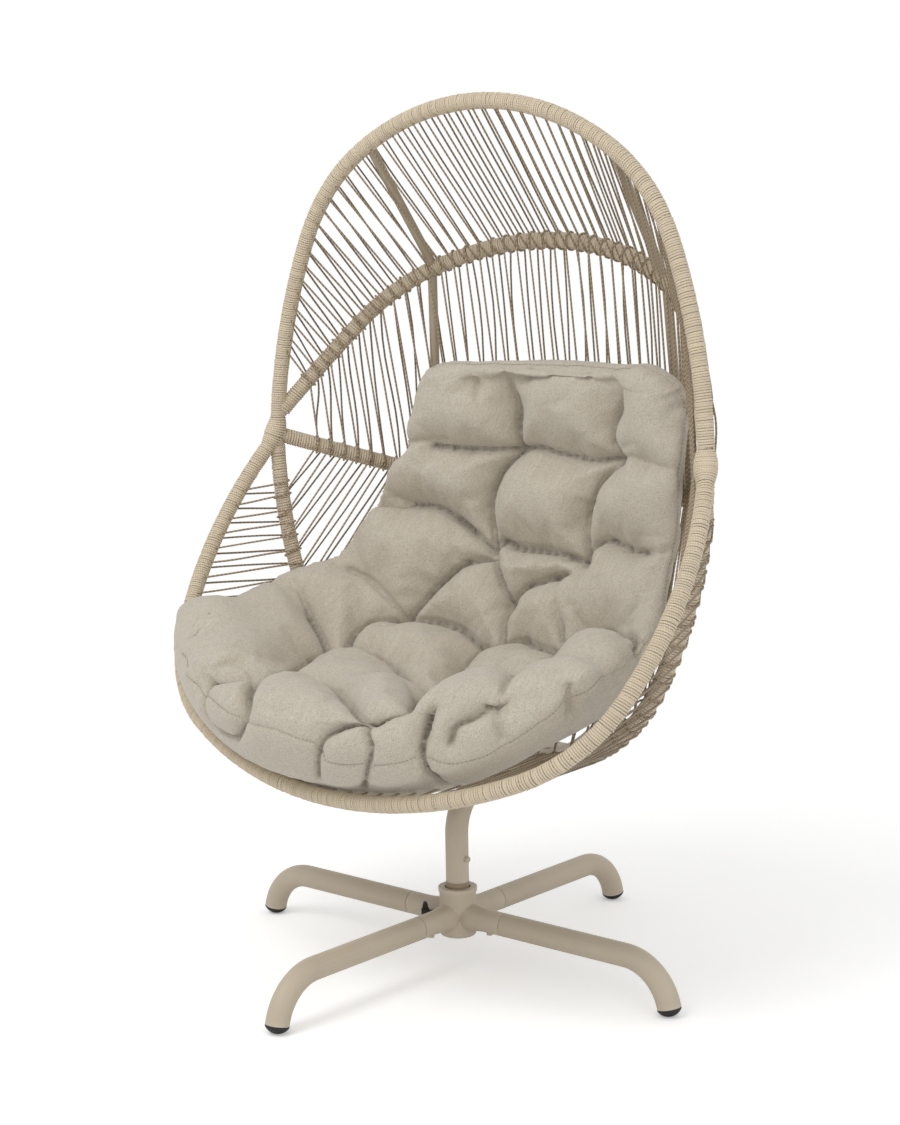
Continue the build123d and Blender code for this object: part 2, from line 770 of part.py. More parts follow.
hoop_bars, hoop_tubes = make_hoop_tubes()
wrap_bars, hoop_wraps = make_hoop_wraps(hoop_bars)
for name in hoops:
    save_in_basket(f"{name}_tube", hoop_tubes[name])
    save_in_basket(f"{name}_wrap", hoop_wraps[name])
crown_stays = {side: crown_stay_path(sign) for side, sign in sides.items()}
back_stays = {side: back_stay_path(sign) for side, sign in sides.items()}
for side, sign in sides.items():
    crown_stay = make_stay(crown_stays[side], wrap_bars["arch"], wrap_bars["upper_hoop"])
    save_in_basket(f"crown_stay_{side}", crown_stay)
    back_stay = make_stay(back_stays[side], wrap_bars["upper_hoop"], wrap_bars["lower_hoop"])
    save_in_basket(f"back_stay_{side}", back_stay)
    save_in_basket(f"seat_rail_{side}", make_rail(sign, wrap_bars))
for place, y in bracket_positions.items():
    save(f"mount_bracket_{place}", make_bracket(y))
save("mount_bolts", *make_mount_bolts())

past_crown_stays = [(path, stay_spacing) for path in crown_stays.values()]
past_back_stays = [(path, stay_spacing) for path in back_stays.values()]
past_rails = [(rail_path(sign), rail_spacing) for sign in sides.values()]
crown_web = make_web("arch", (0.09, 0.91), "upper_hoop", (0.05, 0.95), crown_web_turns, past_crown_stays)
back_web = make_web("upper_hoop", (0.06, 0.94), "lower_hoop", (0.05, 0.95), back_web_turns, past_back_stays)
lumbar_web = make_web("lower_hoop", (0.06, 0.94), "seat_hoop", (0.06, 0.94), lumbar_web_turns,
                      past_rails + past_back_stays)
seat_web = make_web("seat_hoop", (0.05, 0.95), "rim", (0.05, 0.95), seat_web_turns, [])
save_in_basket("crown_web", *crown_web)
save_in_basket("back_web", *back_web)
save_in_basket("lumbar_web", *lumbar_web)
save_in_basket("seat_web", *seat_web)
save_in_basket("cushion", make_cushion())
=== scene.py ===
import bpy
import math
import numpy as np
from mathutils import Matrix, Vector
from mathutils.bvhtree import BVHTree
from mathutils.kdtree import KDTree


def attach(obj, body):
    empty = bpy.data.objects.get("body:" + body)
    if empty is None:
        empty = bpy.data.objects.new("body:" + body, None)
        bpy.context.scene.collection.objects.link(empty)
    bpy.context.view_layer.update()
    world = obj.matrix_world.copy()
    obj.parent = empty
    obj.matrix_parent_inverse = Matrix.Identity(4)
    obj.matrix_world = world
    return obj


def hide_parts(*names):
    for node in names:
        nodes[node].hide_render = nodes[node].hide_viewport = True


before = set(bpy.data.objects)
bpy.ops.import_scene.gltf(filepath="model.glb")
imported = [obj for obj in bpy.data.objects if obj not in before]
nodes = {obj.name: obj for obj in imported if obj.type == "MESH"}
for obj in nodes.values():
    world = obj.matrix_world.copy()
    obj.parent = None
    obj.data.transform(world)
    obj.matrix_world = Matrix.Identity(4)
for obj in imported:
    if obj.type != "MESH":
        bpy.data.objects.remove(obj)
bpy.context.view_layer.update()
print("frame loaded:", len(nodes), "nodes")


def linear(color):
    # a colour written as it is seen on screen, 0 to 255
    shares = [channel / 255 for channel in color]
    return (*(part / 12.92 if part <= 0.04045 else ((part + 0.055) / 1.055) ** 2.4 for part in shares), 1.0)


def fillSocket(tree, socket, source):
    # source: a value, or the output of another node
    if hasattr(source, "is_output"):
        tree.links.new(source, socket)
    else:
        socket.default_value = source


def addNode(tree, kind, sockets=(), **settings):
    # sockets: (input name or number, source); settings are node properties
    node = tree.nodes.new("ShaderNode" + kind)
    for key, value in settings.items():
        setattr(node, key, value)
    for socket, source in sockets:
        fillSocket(tree, node.inputs[socket], source)
    return node


def math2(tree, operation, *sources):
    return addNode(tree, "Math", enumerate(sources), operation=operation).outputs[0]


def ramp(tree, value, low=0.0, high=1.0, toLow=0.0, toHigh=1.0, **settings):
    sockets = (("Value", value), ("From Min", low), ("From Max", high), ("To Min", toLow), ("To Max", toHigh))
    return addNode(tree, "MapRange", sockets, **settings).outputs[0]


def noise(tree, where, scale, detail, roughness=0.5):
    sockets = (("Vector", where), ("Scale", scale), ("Detail", detail), ("Roughness", roughness))
    return addNode(tree, "TexNoise", sockets).outputs["Fac"]


def mixColor(tree, factor, first, second, blend="MIX"):
    # a Mix node's colours are its inputs 6 and 7, and its mixed colour is output 2
    sockets = ((0, factor), (6, first), (7, second))
    return addNode(tree, "Mix", sockets, data_type="RGBA", blend_type=blend).outputs[2]


def newGroup(name, inputs, outputs):
    # inputs: label and value; every socket is a plain number
    group = bpy.data.node_groups.new(name, "ShaderNodeTree")
    for label, value in inputs.items():
        socket = group.interface.new_socket(name=label, in_out="INPUT", socket_type="NodeSocketFloat")
        socket.default_value = value
    for label in outputs:
        group.interface.new_socket(name=label, in_out="OUTPUT", socket_type="NodeSocketFloat")
    return group, group.nodes.new("NodeGroupInput").outputs, group.nodes.new("NodeGroupOutput").inputs


def giveOut(group, outs, *sources):
    for socket, source in zip(outs, sources):
        group.links.new(source, socket)
    return group


def useGroup(tree, group, **inputs):
    node = tree.nodes.new("ShaderNodeGroup")
    node.node_tree = group
    for key, value in inputs.items():
        fillSocket(tree, node.inputs[key], value)
    return node.outputs


def newMaterial(name, roughness, **sockets):
    material = bpy.data.materials.new(name)
    material.use_nodes = True
    shader = material.node_tree.nodes["Principled BSDF"]
    shader.inputs["Roughness"].default_value = roughness
    for key, value in sockets.items():
        shader.inputs[key.replace("_", " ")].default_value = value
    return material, material.node_tree, shader


def dressShader(tree, shader, color, height, strength, distance):
    bump = addNode(tree, "Bump", (("Height", height), ("Strength", strength), ("Distance", distance)))
    tree.links.new(color, shader.inputs["Base Color"])
    tree.links.new(bump.outputs[0], shader.inputs["Normal"])


# camera, light, floor
cameraView = {
    "azimuth": 40.80,            # degrees round from the front
    "elevation": 9.339,
    "roll": 1.012,
    "position": (2.4348, -2.8255, 1.2823),
    "lens": 74.976,              # mm on a 36 mm sensor, for the 900 x 1125 picture
}


def placeCamera(view):
    az, el, roll = (math.radians(view[key]) for key in ("azimuth", "elevation", "roll"))
    back = Vector((math.sin(az) * math.cos(el), -math.cos(az) * math.cos(el), math.sin(el)))
    right = Vector((math.cos(az), math.sin(az), 0))
    up = back.cross(right)
    camRight = right * math.cos(roll) - up * math.sin(roll)
    camUp = right * math.sin(roll) + up * math.cos(roll)
    data = bpy.data.cameras.new("camera")
    data.lens = view["lens"]
    data.sensor_width = 36
    data.clip_start = 0.05
    cam = bpy.data.objects.new("camera", data)
    turned = Matrix((camRight, camUp, back)).transposed().to_4x4()
    cam.matrix_world = Matrix.Translation(view["position"]) @ turned
    bpy.context.collection.objects.link(cam)
    bpy.context.scene.camera = cam


studio = {
    "worldLight": 0.69,
    "keyPower": 62, "keySize": 1.9, "keyFrom": (-0.6, -2.6, 4.0),
    "fillPower": 20, "fillSize": 2.5, "fillFrom": (3.5, -1.0, 1.7),
    "lampsAim": (0, 0, 0.7),
    "floorColor": (0.94, 0.94, 0.935),
    "floorSize": 60,
    "floorLift": 0.27,           # brings the lit floor up to the white of the backdrop, for the camera only
    "fadeFrom": 0.6, "fadeTo": 2.0,
}


def addLamp(name, power, size, place, target):
    data = bpy.data.lights.new(name, "AREA")
    data.energy = power
    data.size = size
    lamp = bpy.data.objects.new(name, data)
    lamp.location = place
    lamp.rotation_euler = (Vector(target) - Vector(place)).to_track_quat("-Z", "Y").to_euler()
    bpy.context.collection.objects.link(lamp)


def buildStudio(values):
    world = bpy.data.worlds.new("studio")
    bpy.context.scene.world = world
    world.use_nodes = True
    tree = world.node_tree
    background = tree.nodes["Background"].inputs
    background["Color"].default_value = (1, 1, 1, 1)
    rays = addNode(tree, "LightPath").outputs
    seen = math2(tree, "MAXIMUM", rays["Is Camera Ray"], rays["Is Glossy Ray"])
    tree.links.new(ramp(tree, seen, toLow=values["worldLight"]), background["Strength"])
    for lamp in ("key", "fill"):
        power, size, place = (values[lamp + part] for part in ("Power", "Size", "From"))
        addLamp(lamp + "Lamp", power, size, place, values["lampsAim"])
    half = values["floorSize"] / 2
    mesh = bpy.data.meshes.new("floor")
    corners = [(-half, -half, 0), (half, -half, 0), (half, half, 0), (-half, half, 0)]
    mesh.from_pydata(corners, [], [(0, 1, 2, 3)])
    floor = bpy.data.objects.new("floor", mesh)
    bpy.context.collection.objects.link(floor)
    # the floor goes over into plain white away from the chair
    color = (*values["floorColor"], 1)
    paint, tree, shader = newMaterial("floorPaint", 0.9, Base_Color=color, Specular_IOR_Level=0.1)
    seen = addNode(tree, "LightPath").outputs["Is Camera Ray"]
    where = addNode(tree, "TexCoord").outputs["Object"]
    away = addNode(tree, "VectorMath", [(0, where)], operation="LENGTH").outputs["Value"]
    fade = ramp(tree, away, values["fadeFrom"], values["fadeTo"], interpolation_type="SMOOTHSTEP")
    glow = addNode(tree, "Emission", [("Strength", math2(tree, "MULTIPLY", seen, values["floorLift"]))])
    lifted = addNode(tree, "AddShader", [(0, shader.outputs[0]), (1, glow.outputs[0])])
    white = addNode(tree, "Emission")
    share = math2(tree, "MULTIPLY", seen, fade)
    mixed = addNode(tree, "MixShader", [(0, share), (1, lifted.outputs[0]), (2, white.outputs[0])])
    tree.links.new(mixed.outputs[0], tree.nodes["Material Output"].inputs["Surface"])
    mesh.materials.append(paint)


placeCamera(cameraView)
buildStudio(studio)
bpy.context.scene.view_settings.view_transform = "Standard"
print("camera, lamps and floor placed")


# fine grain: powder coat, moulded plastic, turned steel
def makeGrainGroup():
    inputs = {"Scale": 900.0, "Mottle": 12.0}
    group, ins, outs = newGroup("surfaceGrain", inputs, ("Speck", "Cloud", "Height"))
    where = addNode(group, "TexCoord").outputs["Object"]
    speck = noise(group, where, ins["Scale"], 3.0)
    peel = addNode(group, "TexVoronoi", [("Vector", where), ("Scale", ins["Scale"])], feature="SMOOTH_F1")
    height = math2(group, "MULTIPLY_ADD", peel.outputs["Distance"], 0.6, speck)
    return giveOut(group, outs, speck, noise(group, where, ins["Mottle"], 4.0), height)


# worn edges, from how sharply the surface turns
def makeEdgeGroup():
    group, ins, outs = newGroup("edgeWear", {"Start": 0.52, "End": 0.62, "Break Up": 60.0}, ("Mask",))
    where = addNode(group, "TexCoord").outputs["Object"]
    turn = addNode(group, "NewGeometry").outputs["Pointiness"]
    mask = ramp(group, turn, ins["Start"], ins["End"])
    return giveOut(group, outs, math2(group, "MULTIPLY", mask, noise(group, where, ins["Break Up"], 5.0)))


# two plies laid round each other, read from the cord's own length and girth
def makeTwistGroup():
    group, ins, outs = newGroup("cordTwist", {"Lay": 0.0105}, ("Ply", "Groove", "Fibre", "Side", "Height"))
    uv = addNode(group, "UVMap", uv_map="cord").outputs[0]
    length, girth, _ = addNode(group, "SeparateXYZ", [(0, uv)]).outputs
    along = math2(group, "DIVIDE", length, ins["Lay"])
    phase = math2(group, "ADD", along, girth)
    wave = math2(group, "COSINE", math2(group, "MULTIPLY", phase, 2 * math.pi))
    ply = ramp(group, wave, -0.15, 0.15)
    # the groove between the plies: a bump, and a mask for painted shade
    groove = math2(group, "POWER", math2(group, "ABSOLUTE", wave), 0.6)
    stretch = addNode(group, "CombineXYZ", [
        (0, math2(group, "MULTIPLY", along, 2.0)), (1, math2(group, "MULTIPLY", phase, 9.0))])
    fibre = noise(group, stretch.outputs[0], 1.0, 4.0)
    # where one turn meets the next: the two sides of a winding's own section, a mask for painted shade in the
    # gap between turns
    farSide = math2(group, "ABSOLUTE", math2(group, "SUBTRACT", girth, 0.75))
    nearSide = math2(group, "MINIMUM", girth, math2(group, "SUBTRACT", 1.0, girth))
    side = ramp(group, math2(group, "MINIMUM", nearSide, farSide), 0.02, 0.11, 1.0, 0.0)
    return giveOut(group, outs, ply, groove, fibre, side, math2(group, "MULTIPLY_ADD", fibre, 0.25, groove))


# plain linen weave: warp and weft threads of uneven tone
def makeWeaveGroup():
    inputs = {"Threads": 900.0, "Slub": 420.0}
    group, ins, outs = newGroup("linenWeave", inputs, ("Tone", "Heather", "Height"))
    where = addNode(group, "TexCoord").outputs["Object"]
    x, y, z = addNode(group, "SeparateXYZ", [(0, where)]).outputs
    # the cloth lies mostly across X, so one thread set runs along X and one across it
    flat = addNode(group, "CombineXYZ", [(0, x), (1, math2(group, "SUBTRACT", z, y))]).outputs[0]
    waves, slubs = [], []
    for direction, squeeze in (("X", (0.18, 1.0, 1.0)), ("Y", (1.0, 0.18, 1.0))):
        sockets = (("Vector", flat), ("Scale", ins["Threads"]), ("Distortion", 1.2), ("Detail", 1.0))
        waves.append(addNode(group, "TexWave", sockets, bands_direction=direction).outputs["Fac"])
        scaled = addNode(group, "VectorMath", [(0, flat), (1, squeeze)], operation="MULTIPLY").outputs[0]
        slubs.append(noise(group, scaled, ins["Slub"], 4.0, 0.7))
    tone, height = math2(group, "ADD", *slubs), math2(group, "MULTIPLY", *waves)
    return giveOut(group, outs, tone, noise(group, where, 520.0, 2.0), height)


surfaceGrain = makeGrainGroup()
edgeWear = makeEdgeGroup()
cordTwist = makeTwistGroup()
linenWeave = makeWeaveGroup()

hardKinds = {
    # noise scales, the noise that drives the roughness, where edges begin and end to wear
    "coat": {"metallic": 0.0, "grain": 1400.0, "mottle": 9.0, "roughBy": "Speck", "wear": (0.53, 0.64),
             "bump": 0.35, "bumpHeight": 0.0003},
    "plastic": {"metallic": 0.0, "grain": 2200.0, "mottle": 30.0, "roughBy": "Cloud", "wear": (0.54, 0.70),
                "bump": 0.25, "bumpHeight": 0.0002},
    "steel": {"metallic": 1.0, "grain": 700.0, "mottle": 40.0, "roughBy": "Speck", "wear": None,
              "bump": 0.15, "bumpHeight": 0.0002},
}
hardFinishes = {
    # kind, then main, shaded and worn colour, then roughness from its smoothest to its dullest place
    "powderCoat": ("coat", (196, 183, 163), (184, 171, 151), (208, 197, 179), (0.42, 0.62)),
    # painted shade: the same powder coat as powderCoat, made darker for the shade the stays stand in
    "paintedShadeCoat": ("coat", (166, 150, 127), (152, 136, 113), (186, 172, 150), (0.42, 0.62)),
    "blackPlastic": ("plastic", (26, 25, 24), (26, 25, 24), (41, 40, 38), (0.40, 0.62)),
    "bushPlastic": ("plastic", (139, 122, 102), (139, 122, 102), (194, 171, 144), (0.35, 0.57)),
    "darkSteel": ("steel", (70, 64, 57), (56, 51, 46), None, (0.33, 0.60)),
    "plainSteel": ("steel", (176, 174, 170), (141, 139, 136), None, (0.20, 0.47)),
}


def makeHard(name, kind, main, shaded, worn, rough):
    values = hardKinds[kind]
    material, tree, shader = newMaterial(name, rough[1], Metallic=values["metallic"])
    grain = useGroup(tree, surfaceGrain, Scale=values["grain"], Mottle=values["mottle"])
    color = mixColor(tree, grain["Cloud"], linear(main), linear(shaded))
    if worn:
        start, end = values["wear"]
        color = mixColor(tree, useGroup(tree, edgeWear, Start=start, End=end)["Mask"], color, linear(worn))
    roughness = ramp(tree, grain[values["roughBy"]], toLow=rough[0], toHigh=rough[1])
    tree.links.new(roughness, shader.inputs["Roughness"])
    dressShader(tree, shader, color, grain["Height"], values["bump"], values["bumpHeight"])
    return material


cordFinishes = {
    # the two plies, then painted shade: the groove between them and the gap between two turns; lay: length of
    # one twist
    "lightCord": {"pale": (228, 213, 188), "deep": (214, 198, 172), "groove": (180, 162, 135),
                  "between": (92, 77, 56), "sideShade": 0.85, "lay": 0.0036},
    # painted shade: the same cord as lightCord, made darker for the shade the rear and seat hoops stand in
    "paintedShadeCord": {"pale": (222, 206, 182), "deep": (206, 190, 166), "groove": (156, 140, 116),
                 "between": (80, 68, 52), "sideShade": 0.7, "lay": 0.0036},
    "webCord": {"pale": (180, 163, 138), "deep": (142, 125, 101), "groove": (84, 70, 53), "lay": 0.0075},
}


def makeCord(name, values):
    material, tree, shader = newMaterial(name, 0.78, Sheen_Weight=0.15, Sheen_Roughness=0.5)
    twist = useGroup(tree, cordTwist, Lay=values["lay"])
    pale, deep, groove = (linear(values[key]) for key in ("pale", "deep", "groove"))
    color = mixColor(tree, twist["Ply"], pale, deep)
    fleck = math2(tree, "MULTIPLY", ramp(tree, twist["Fibre"], 0.35, 0.7), 0.35)
    color = mixColor(tree, fleck, color, deep)
    # painted shade in the groove between the two plies
    color = mixColor(tree, ramp(tree, twist["Groove"], 0.0, 0.6, 0.8, 0.0), color, groove)
    # painted shade in the gap between two turns of a winding
    if "between" in values:
        between = math2(tree, "MULTIPLY", twist["Side"], values["sideShade"])
        color = mixColor(tree, between, color, linear(values["between"]))
    # the tone attribute: a random tone for each turn of a winding, and on the webs the painted light and
    # shade of each strand
    tone = addNode(tree, "Attribute", attribute_name="tone").outputs["Fac"]
    shade = addNode(tree, "CombineColor", [(0, tone), (1, tone), (2, tone)]).outputs[0]
    color = mixColor(tree, 1.0, color, shade, "MULTIPLY")
    dressShader(tree, shader, color, twist["Height"], 0.8, 0.0006)
    return material


# the last colour is painted shade along the bottom of the folds
linen = {"pale": (201, 193, 178), "deep": (183, 174, 158), "fleck": (154, 144, 127), "paintedFoldShade": (88, 79, 66),
         "toneRange": (0.75, 1.3)}


def makeLinen(values):
    material, tree, shader = newMaterial("linenCloth", 0.92, Sheen_Weight=0.25, Sheen_Roughness=0.45)
    weave = useGroup(tree, linenWeave)
    tone = ramp(tree, weave["Tone"], *values["toneRange"])
    color = mixColor(tree, tone, linear(values["pale"]), linear(values["deep"]))
    color = mixColor(tree, ramp(tree, weave["Heather"], 0.48, 0.68, 0.0, 0.6), color, linear(values["fleck"]))
    # painted shade along the bottom of each fold, from the fold attribute
    fold = addNode(tree, "Attribute", attribute_name="fold").outputs["Fac"]
    color = mixColor(tree, ramp(tree, fold, 0.45, 1.0, 0.0, 0.85), color, linear(values["paintedFoldShade"]))
    dressShader(tree, shader, color, weave["Height"], 0.25, 0.0003)
    return material


def makeThread(values):
    material, tree, shader = newMaterial("sewingThread", 0.8, Sheen_Weight=0.2, Sheen_Roughness=0.4)
    weave = useGroup(tree, linenWeave, Threads=2600.0)
    tone = ramp(tree, weave["Tone"], *values["toneRange"])
    color = mixColor(tree, tone, linear(values["deep"]), linear(values["fleck"]))
    dressShader(tree, shader, color, weave["Height"], 0.5, 0.0003)
    return material


finishes = {name: makeHard(name, *values) for name, values in hardFinishes.items()}
finishes.update({name: makeCord(name, values) for name, values in cordFinishes.items()})
finishes["linen"] = makeLinen(linen)
finishes["thread"] = makeThread(linen)
print("finishes made:", ", ".join(finishes))

carriedOver = {
    "powderCoat": ["hub", "leg_front", "leg_right", "leg_rear", "leg_left", "post",
                   "arch_tube", "rim_tube", "upper_hoop_tube", "lower_hoop_tube", "seat_hoop_tube",
                   "seat_rail_left", "seat_rail_right", "mount_bracket_front", "mount_bracket_rear",
                   "leg_bolts", "post_screw"],
    # the four stays get the copy of the powder coat with painted shade
    "paintedShadeCoat": ["crown_stay_left", "crown_stay_right", "back_stay_left", "back_stay_right"],
    "blackPlastic": ["foot_plug_front", "foot_plug_right", "foot_plug_rear", "foot_plug_left",
                     "lock_knob", "post_cap"],
    "bushPlastic": ["upper_bush", "lower_bush"],
    "darkSteel": ["mount_bolts"],
    "plainSteel": ["spindle", "thrust_washer", "spindle_bolt"],
}
for finish, names in carriedOver.items():
    for name in names:
        piece = nodes[name]
        if not piece.material_slots:
            piece.data.materials.append(finishes[finish])
        for materialSlot in piece.material_slots:
            materialSlot.material = finishes[finish]
print("finishes put on the carried-over pieces")

# centre lines of the five hoops, as the frame has them
basket = {
    "sideJoint": (0.451, 0.063, 0.846),
    "upperHoopLift": 0.032,
    "tubeRadius": 0.011,
    "wrapRadius": 0.0135,
    # depth, crown, shoulder and side radius, end angle, tilt of the hoop's plane
    "arch": (0.556, 0.482, 0.312, 0.935, 88.7, 87.7),
    "rim": (0.619, 0.733, 0.258, 0.609, 110.3, -125.2),
    "upperHoop": (0.362, 0.496, 0.290, 2.445, 65.1, 55.5),
    "lowerHoop": (0.281, 0.756, 0.242, 3.559, 55.5, -21.3),
    "seatHoop": (0.515, 0.678, 0.276, 0.725, 90.0, -90.0),
}


def distanceAlong(line):
    return np.concatenate([[0], np.cumsum(np.linalg.norm(np.diff(line, axis=0), axis=1))])


def pointsAt(where, distance, line):
    # the points of a line at the distances asked for
    return np.stack([np.interp(where, distance, line[:, axis]) for axis in range(3)], 1)


def towards(first, second):
    # the direction from one point to another, as an angle
    return np.arctan2(*(second - first)[::-1])


class Hoop:
    # a three-centred arch in a tilted plane, read by the distance from its left end
    def __init__(self, shape, halfWidth, y, z):
        depth, crown, shoulder, side, endAngle, tilt = shape
        lean = math.radians(endAngle)
        sideCentre = np.array((halfWidth - side * math.sin(lean), -side * math.cos(lean)))
        crownCentre = np.array((0.0, depth - crown))
        toCrown, toSide = crown - shoulder, side - shoulder
        gap = sideCentre - crownCentre
        size = np.hypot(*gap)
        along = (toCrown**2 - toSide**2 + size**2) / (2 * size)
        across = math.sqrt(max(toCrown**2 - along**2, 0.0))
        unit = gap / size
        normal = np.array((-unit[1], unit[0]))
        options = [crownCentre + unit * along + normal * across * sign for sign in (1, -1)]
        shoulderCentre = max(options, key=sum)
        crownAim, sideAim = towards(crownCentre, shoulderCentre), towards(sideCentre, shoulderCentre)
        endAim = towards(sideCentre, np.array((halfWidth, 0.0)))
        flat = []
        for centre, radius, start, end in (
            (crownCentre, crown, math.pi / 2, crownAim),
            (shoulderCentre, shoulder, crownAim, sideAim),
            (sideCentre, side, sideAim, endAim),
        ):
            angles = np.linspace(start, end, 400)
            flat.append(centre + radius * np.stack([np.cos(angles), np.sin(angles)], 1))
        right = np.concatenate(flat)
        left = right[::-1] * (-1, 1)
        points = np.concatenate([left[:-1], right])
        tiltAngle = math.radians(tilt)
        down = np.array((0, math.cos(tiltAngle), math.sin(tiltAngle)))
        self.binormal = np.array((0, -math.sin(tiltAngle), math.cos(tiltAngle)))
        self.points = points[:, :1] * (1, 0, 0) + points[:, 1:] * down + (0, y, z)
        self.distance = distanceAlong(self.points)
        self.length = self.distance[-1]

    def at(self, distance):
        # points, directions and outward directions
        distance = np.atleast_1d(distance)
        points, ahead, behind = (
            pointsAt(distance + step, self.distance, self.points) for step in (0, 0.001, -0.001))
        along = ahead - behind
        along /= np.linalg.norm(along, axis=1)[:, None]
        return points, along, np.cross(self.binormal, along)


class Bend(Hoop):
    # the short curve over a side joint, from one hoop to the next
    def __init__(self, first, second, end, margin):
        start = first.at(margin if end == 0 else first.length - margin)[0][0]
        stop = second.at(margin if end == 0 else second.length - margin)[0][0]
        joint = first.points[end]
        share = np.linspace(0, 1, 200)[:, None]
        self.points = start * (1 - share) ** 2 + joint * 2 * share * (1 - share) + stop * share**2
        self.binormal = np.cross(joint - start, stop - joint)
        self.binormal /= np.linalg.norm(self.binormal)
        self.distance = distanceAlong(self.points)
        self.length = self.distance[-1]


def makeHoops(values):
    halfWidth, y, z = values["sideJoint"]
    hoops = {name: Hoop(values[name], halfWidth, y, z) for name in ("arch", "rim", "lowerHoop", "seatHoop")}
    lift = values["upperHoopLift"]
    tilt = math.radians(values["arch"][5])
    side, lean = values["arch"][3], math.radians(values["arch"][4])
    centreX, centreY = halfWidth - side * math.sin(lean), -side * math.cos(lean)
    width = centreX + math.sqrt(side**2 - (lift - centreY) ** 2)
    y, z = y + lift * math.cos(tilt), z + lift * math.sin(tilt)
    hoops["upperHoop"] = Hoop(values["upperHoop"], width, y, z)
    return hoops


hoops = makeHoops(basket)
print("hoop lengths:", {name: round(hoop.length, 3) for name, hoop in hoops.items()})


# cords as closed tubes along a path
def stripFaces(rings, sides):
    # quads between neighbouring rings of points, then the two ends
    ring = np.arange(rings - 1)[:, None] * sides
    side = np.arange(sides)
    after = (side + 1) % sides
    quads = np.stack([ring + side, ring + after, ring + sides + after, ring + sides + side], 2).reshape(-1, 4)
    ends = [list(range(sides))[::-1], list(range((rings - 1) * sides, rings * sides))]
    return quads.tolist() + ends


def newPiece(name, vertices, faces, material):
    mesh = bpy.data.meshes.new(name)
    mesh.from_pydata(vertices, [], faces)
    mesh.shade_smooth()
    mesh.materials.append(material)
    piece = bpy.data.objects.new(name, mesh)
    bpy.context.collection.objects.link(piece)
    return piece


def storeValues(mesh, name, values):
    mesh.attributes.new(name, "FLOAT", "POINT").data.foreach_set("value", values.astype(np.float32))


def meshFromRings(name, rings, lengths, tones, material):
    # rings: count x sides x 3; lengths: distance along the cord at each ring
    count, sides = rings.shape[:2]
    faces = stripFaces(count, sides)
    piece = newPiece(name, rings.reshape(-1, 3).tolist(), faces, material)
    corners = np.concatenate(faces)
    girth = corners % sides / sides
    # the last side closes at 1, not back at 0
    girth[:-2 * sides].reshape(-1, sides, 4)[:, -1, 1:3] = 1.0
    uv = np.stack([lengths[corners // sides], girth], 1)
    piece.data.uv_layers.new(name="cord").data.foreach_set("uv", uv.astype(np.float32).ravel())
    storeValues(piece.data, "tone", np.repeat(tones, sides))
    return piece


def ringsRound(path, radialOut, across, halfWidth, halfThick, outline):
    # outline: (across, out) shares of the cord's section
    return np.stack([path + across * (share * halfWidth) + radialOut * (out * halfThick)
                     for share, out in outline], 1)


# a turn of the winding, flat where it lies on the tube
turnSection = [(-1.0, -0.35), (-0.86, 0.35), (-0.5, 0.85), (0.0, 1.0),
               (0.5, 0.85), (0.86, 0.35), (1.0, -0.35), (0.0, -0.8)]
winding = {
    # finish, node, pitch, and the length left free at each end
    "arch": ("lightCord", "arch_wrap", 0.0040, 0.030),
    "rim": ("lightCord", "rim_wrap", 0.0041, 0.030),
    # the upper, lower and seat hoops are wound with the copy of the cord with painted shade
    "upperHoop": ("paintedShadeCord", "upper_hoop_wrap", 0.0046, 0.012),
    "lowerHoop": ("paintedShadeCord", "lower_hoop_wrap", 0.0046, 0.014),
    "seatHoop": ("paintedShadeCord", "seat_hoop_wrap", 0.0046, 0.020),
    "cordThick": 0.0027,
    "sink": 0.93,                # the cord beds into the tube's coat by a little of its thickness
    "stepsPerTurn": 12,
    "wander": 0.00030,           # how unevenly a hand winds it
    "liftWander": 0.00022,
    "tones": (0.93, 1.04),
    "knuckleSwell": 0.0055,      # how much thicker the joint is than the hoops
}


def windCord(name, hoop, start, end, pitch, finish, values, seed, middleSwell=0.0):
    # one cord wound turn by turn round a hoop between two distances
    rng = np.random.default_rng(seed)
    turns = int((end - start) / pitch)
    angle = np.linspace(0, 2 * math.pi * turns, turns * values["stepsPerTurn"] + 1)
    turnNumber = angle / (2 * math.pi)
    knots = np.arange(turns + 2)
    offset = np.interp(turnNumber, knots, rng.normal(0, values["wander"], turns + 2))
    lift = np.interp(turnNumber, knots, rng.normal(0, values["liftWander"], turns + 2))
    points, along, outward = hoop.at(start + (end - start) * turnNumber / turns + offset)
    radial = outward * np.cos(angle)[:, None] + hoop.binormal * np.sin(angle)[:, None]
    halfThick = values["cordThick"] / 2
    swollen = middleSwell * np.sin(math.pi * turnNumber / turns)
    radius = basket["tubeRadius"] + halfThick * values["sink"] + lift + swollen
    path = points + radial * radius[:, None]
    rings = ringsRound(path, radial, along, pitch * 0.5, halfThick, turnSection)
    tones = np.interp(turnNumber, knots, rng.uniform(*values["tones"], turns + 2))
    return meshFromRings(name, rings, distanceAlong(path), tones, finishes[finish])


def windAllHoops(values):
    for number, name in enumerate(("arch", "rim", "upperHoop", "lowerHoop", "seatHoop")):
        hoop = hoops[name]
        finish, node, pitch, free = values[name]
        piece = windCord(name + "Winding", hoop, free, hoop.length - free, pitch, finish, values, 10 + number)
        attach(piece, "seat")
        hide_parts(node)
        print("wound", name, len(piece.data.vertices), "vertices")
    # the same cord carried on over each side joint, from the arch down to the rim
    finish, _, pitch, free = values["rim"]
    for side, end in (("Left", 0), ("Right", -1)):
        bend = Bend(hoops["arch"], hoops["rim"], end, free)
        piece = windCord("knuckle" + side, bend, 0.0, bend.length, pitch, finish, values, 20 + end,
                         values["knuckleSwell"])
        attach(piece, "seat")


windAllHoops(winding)

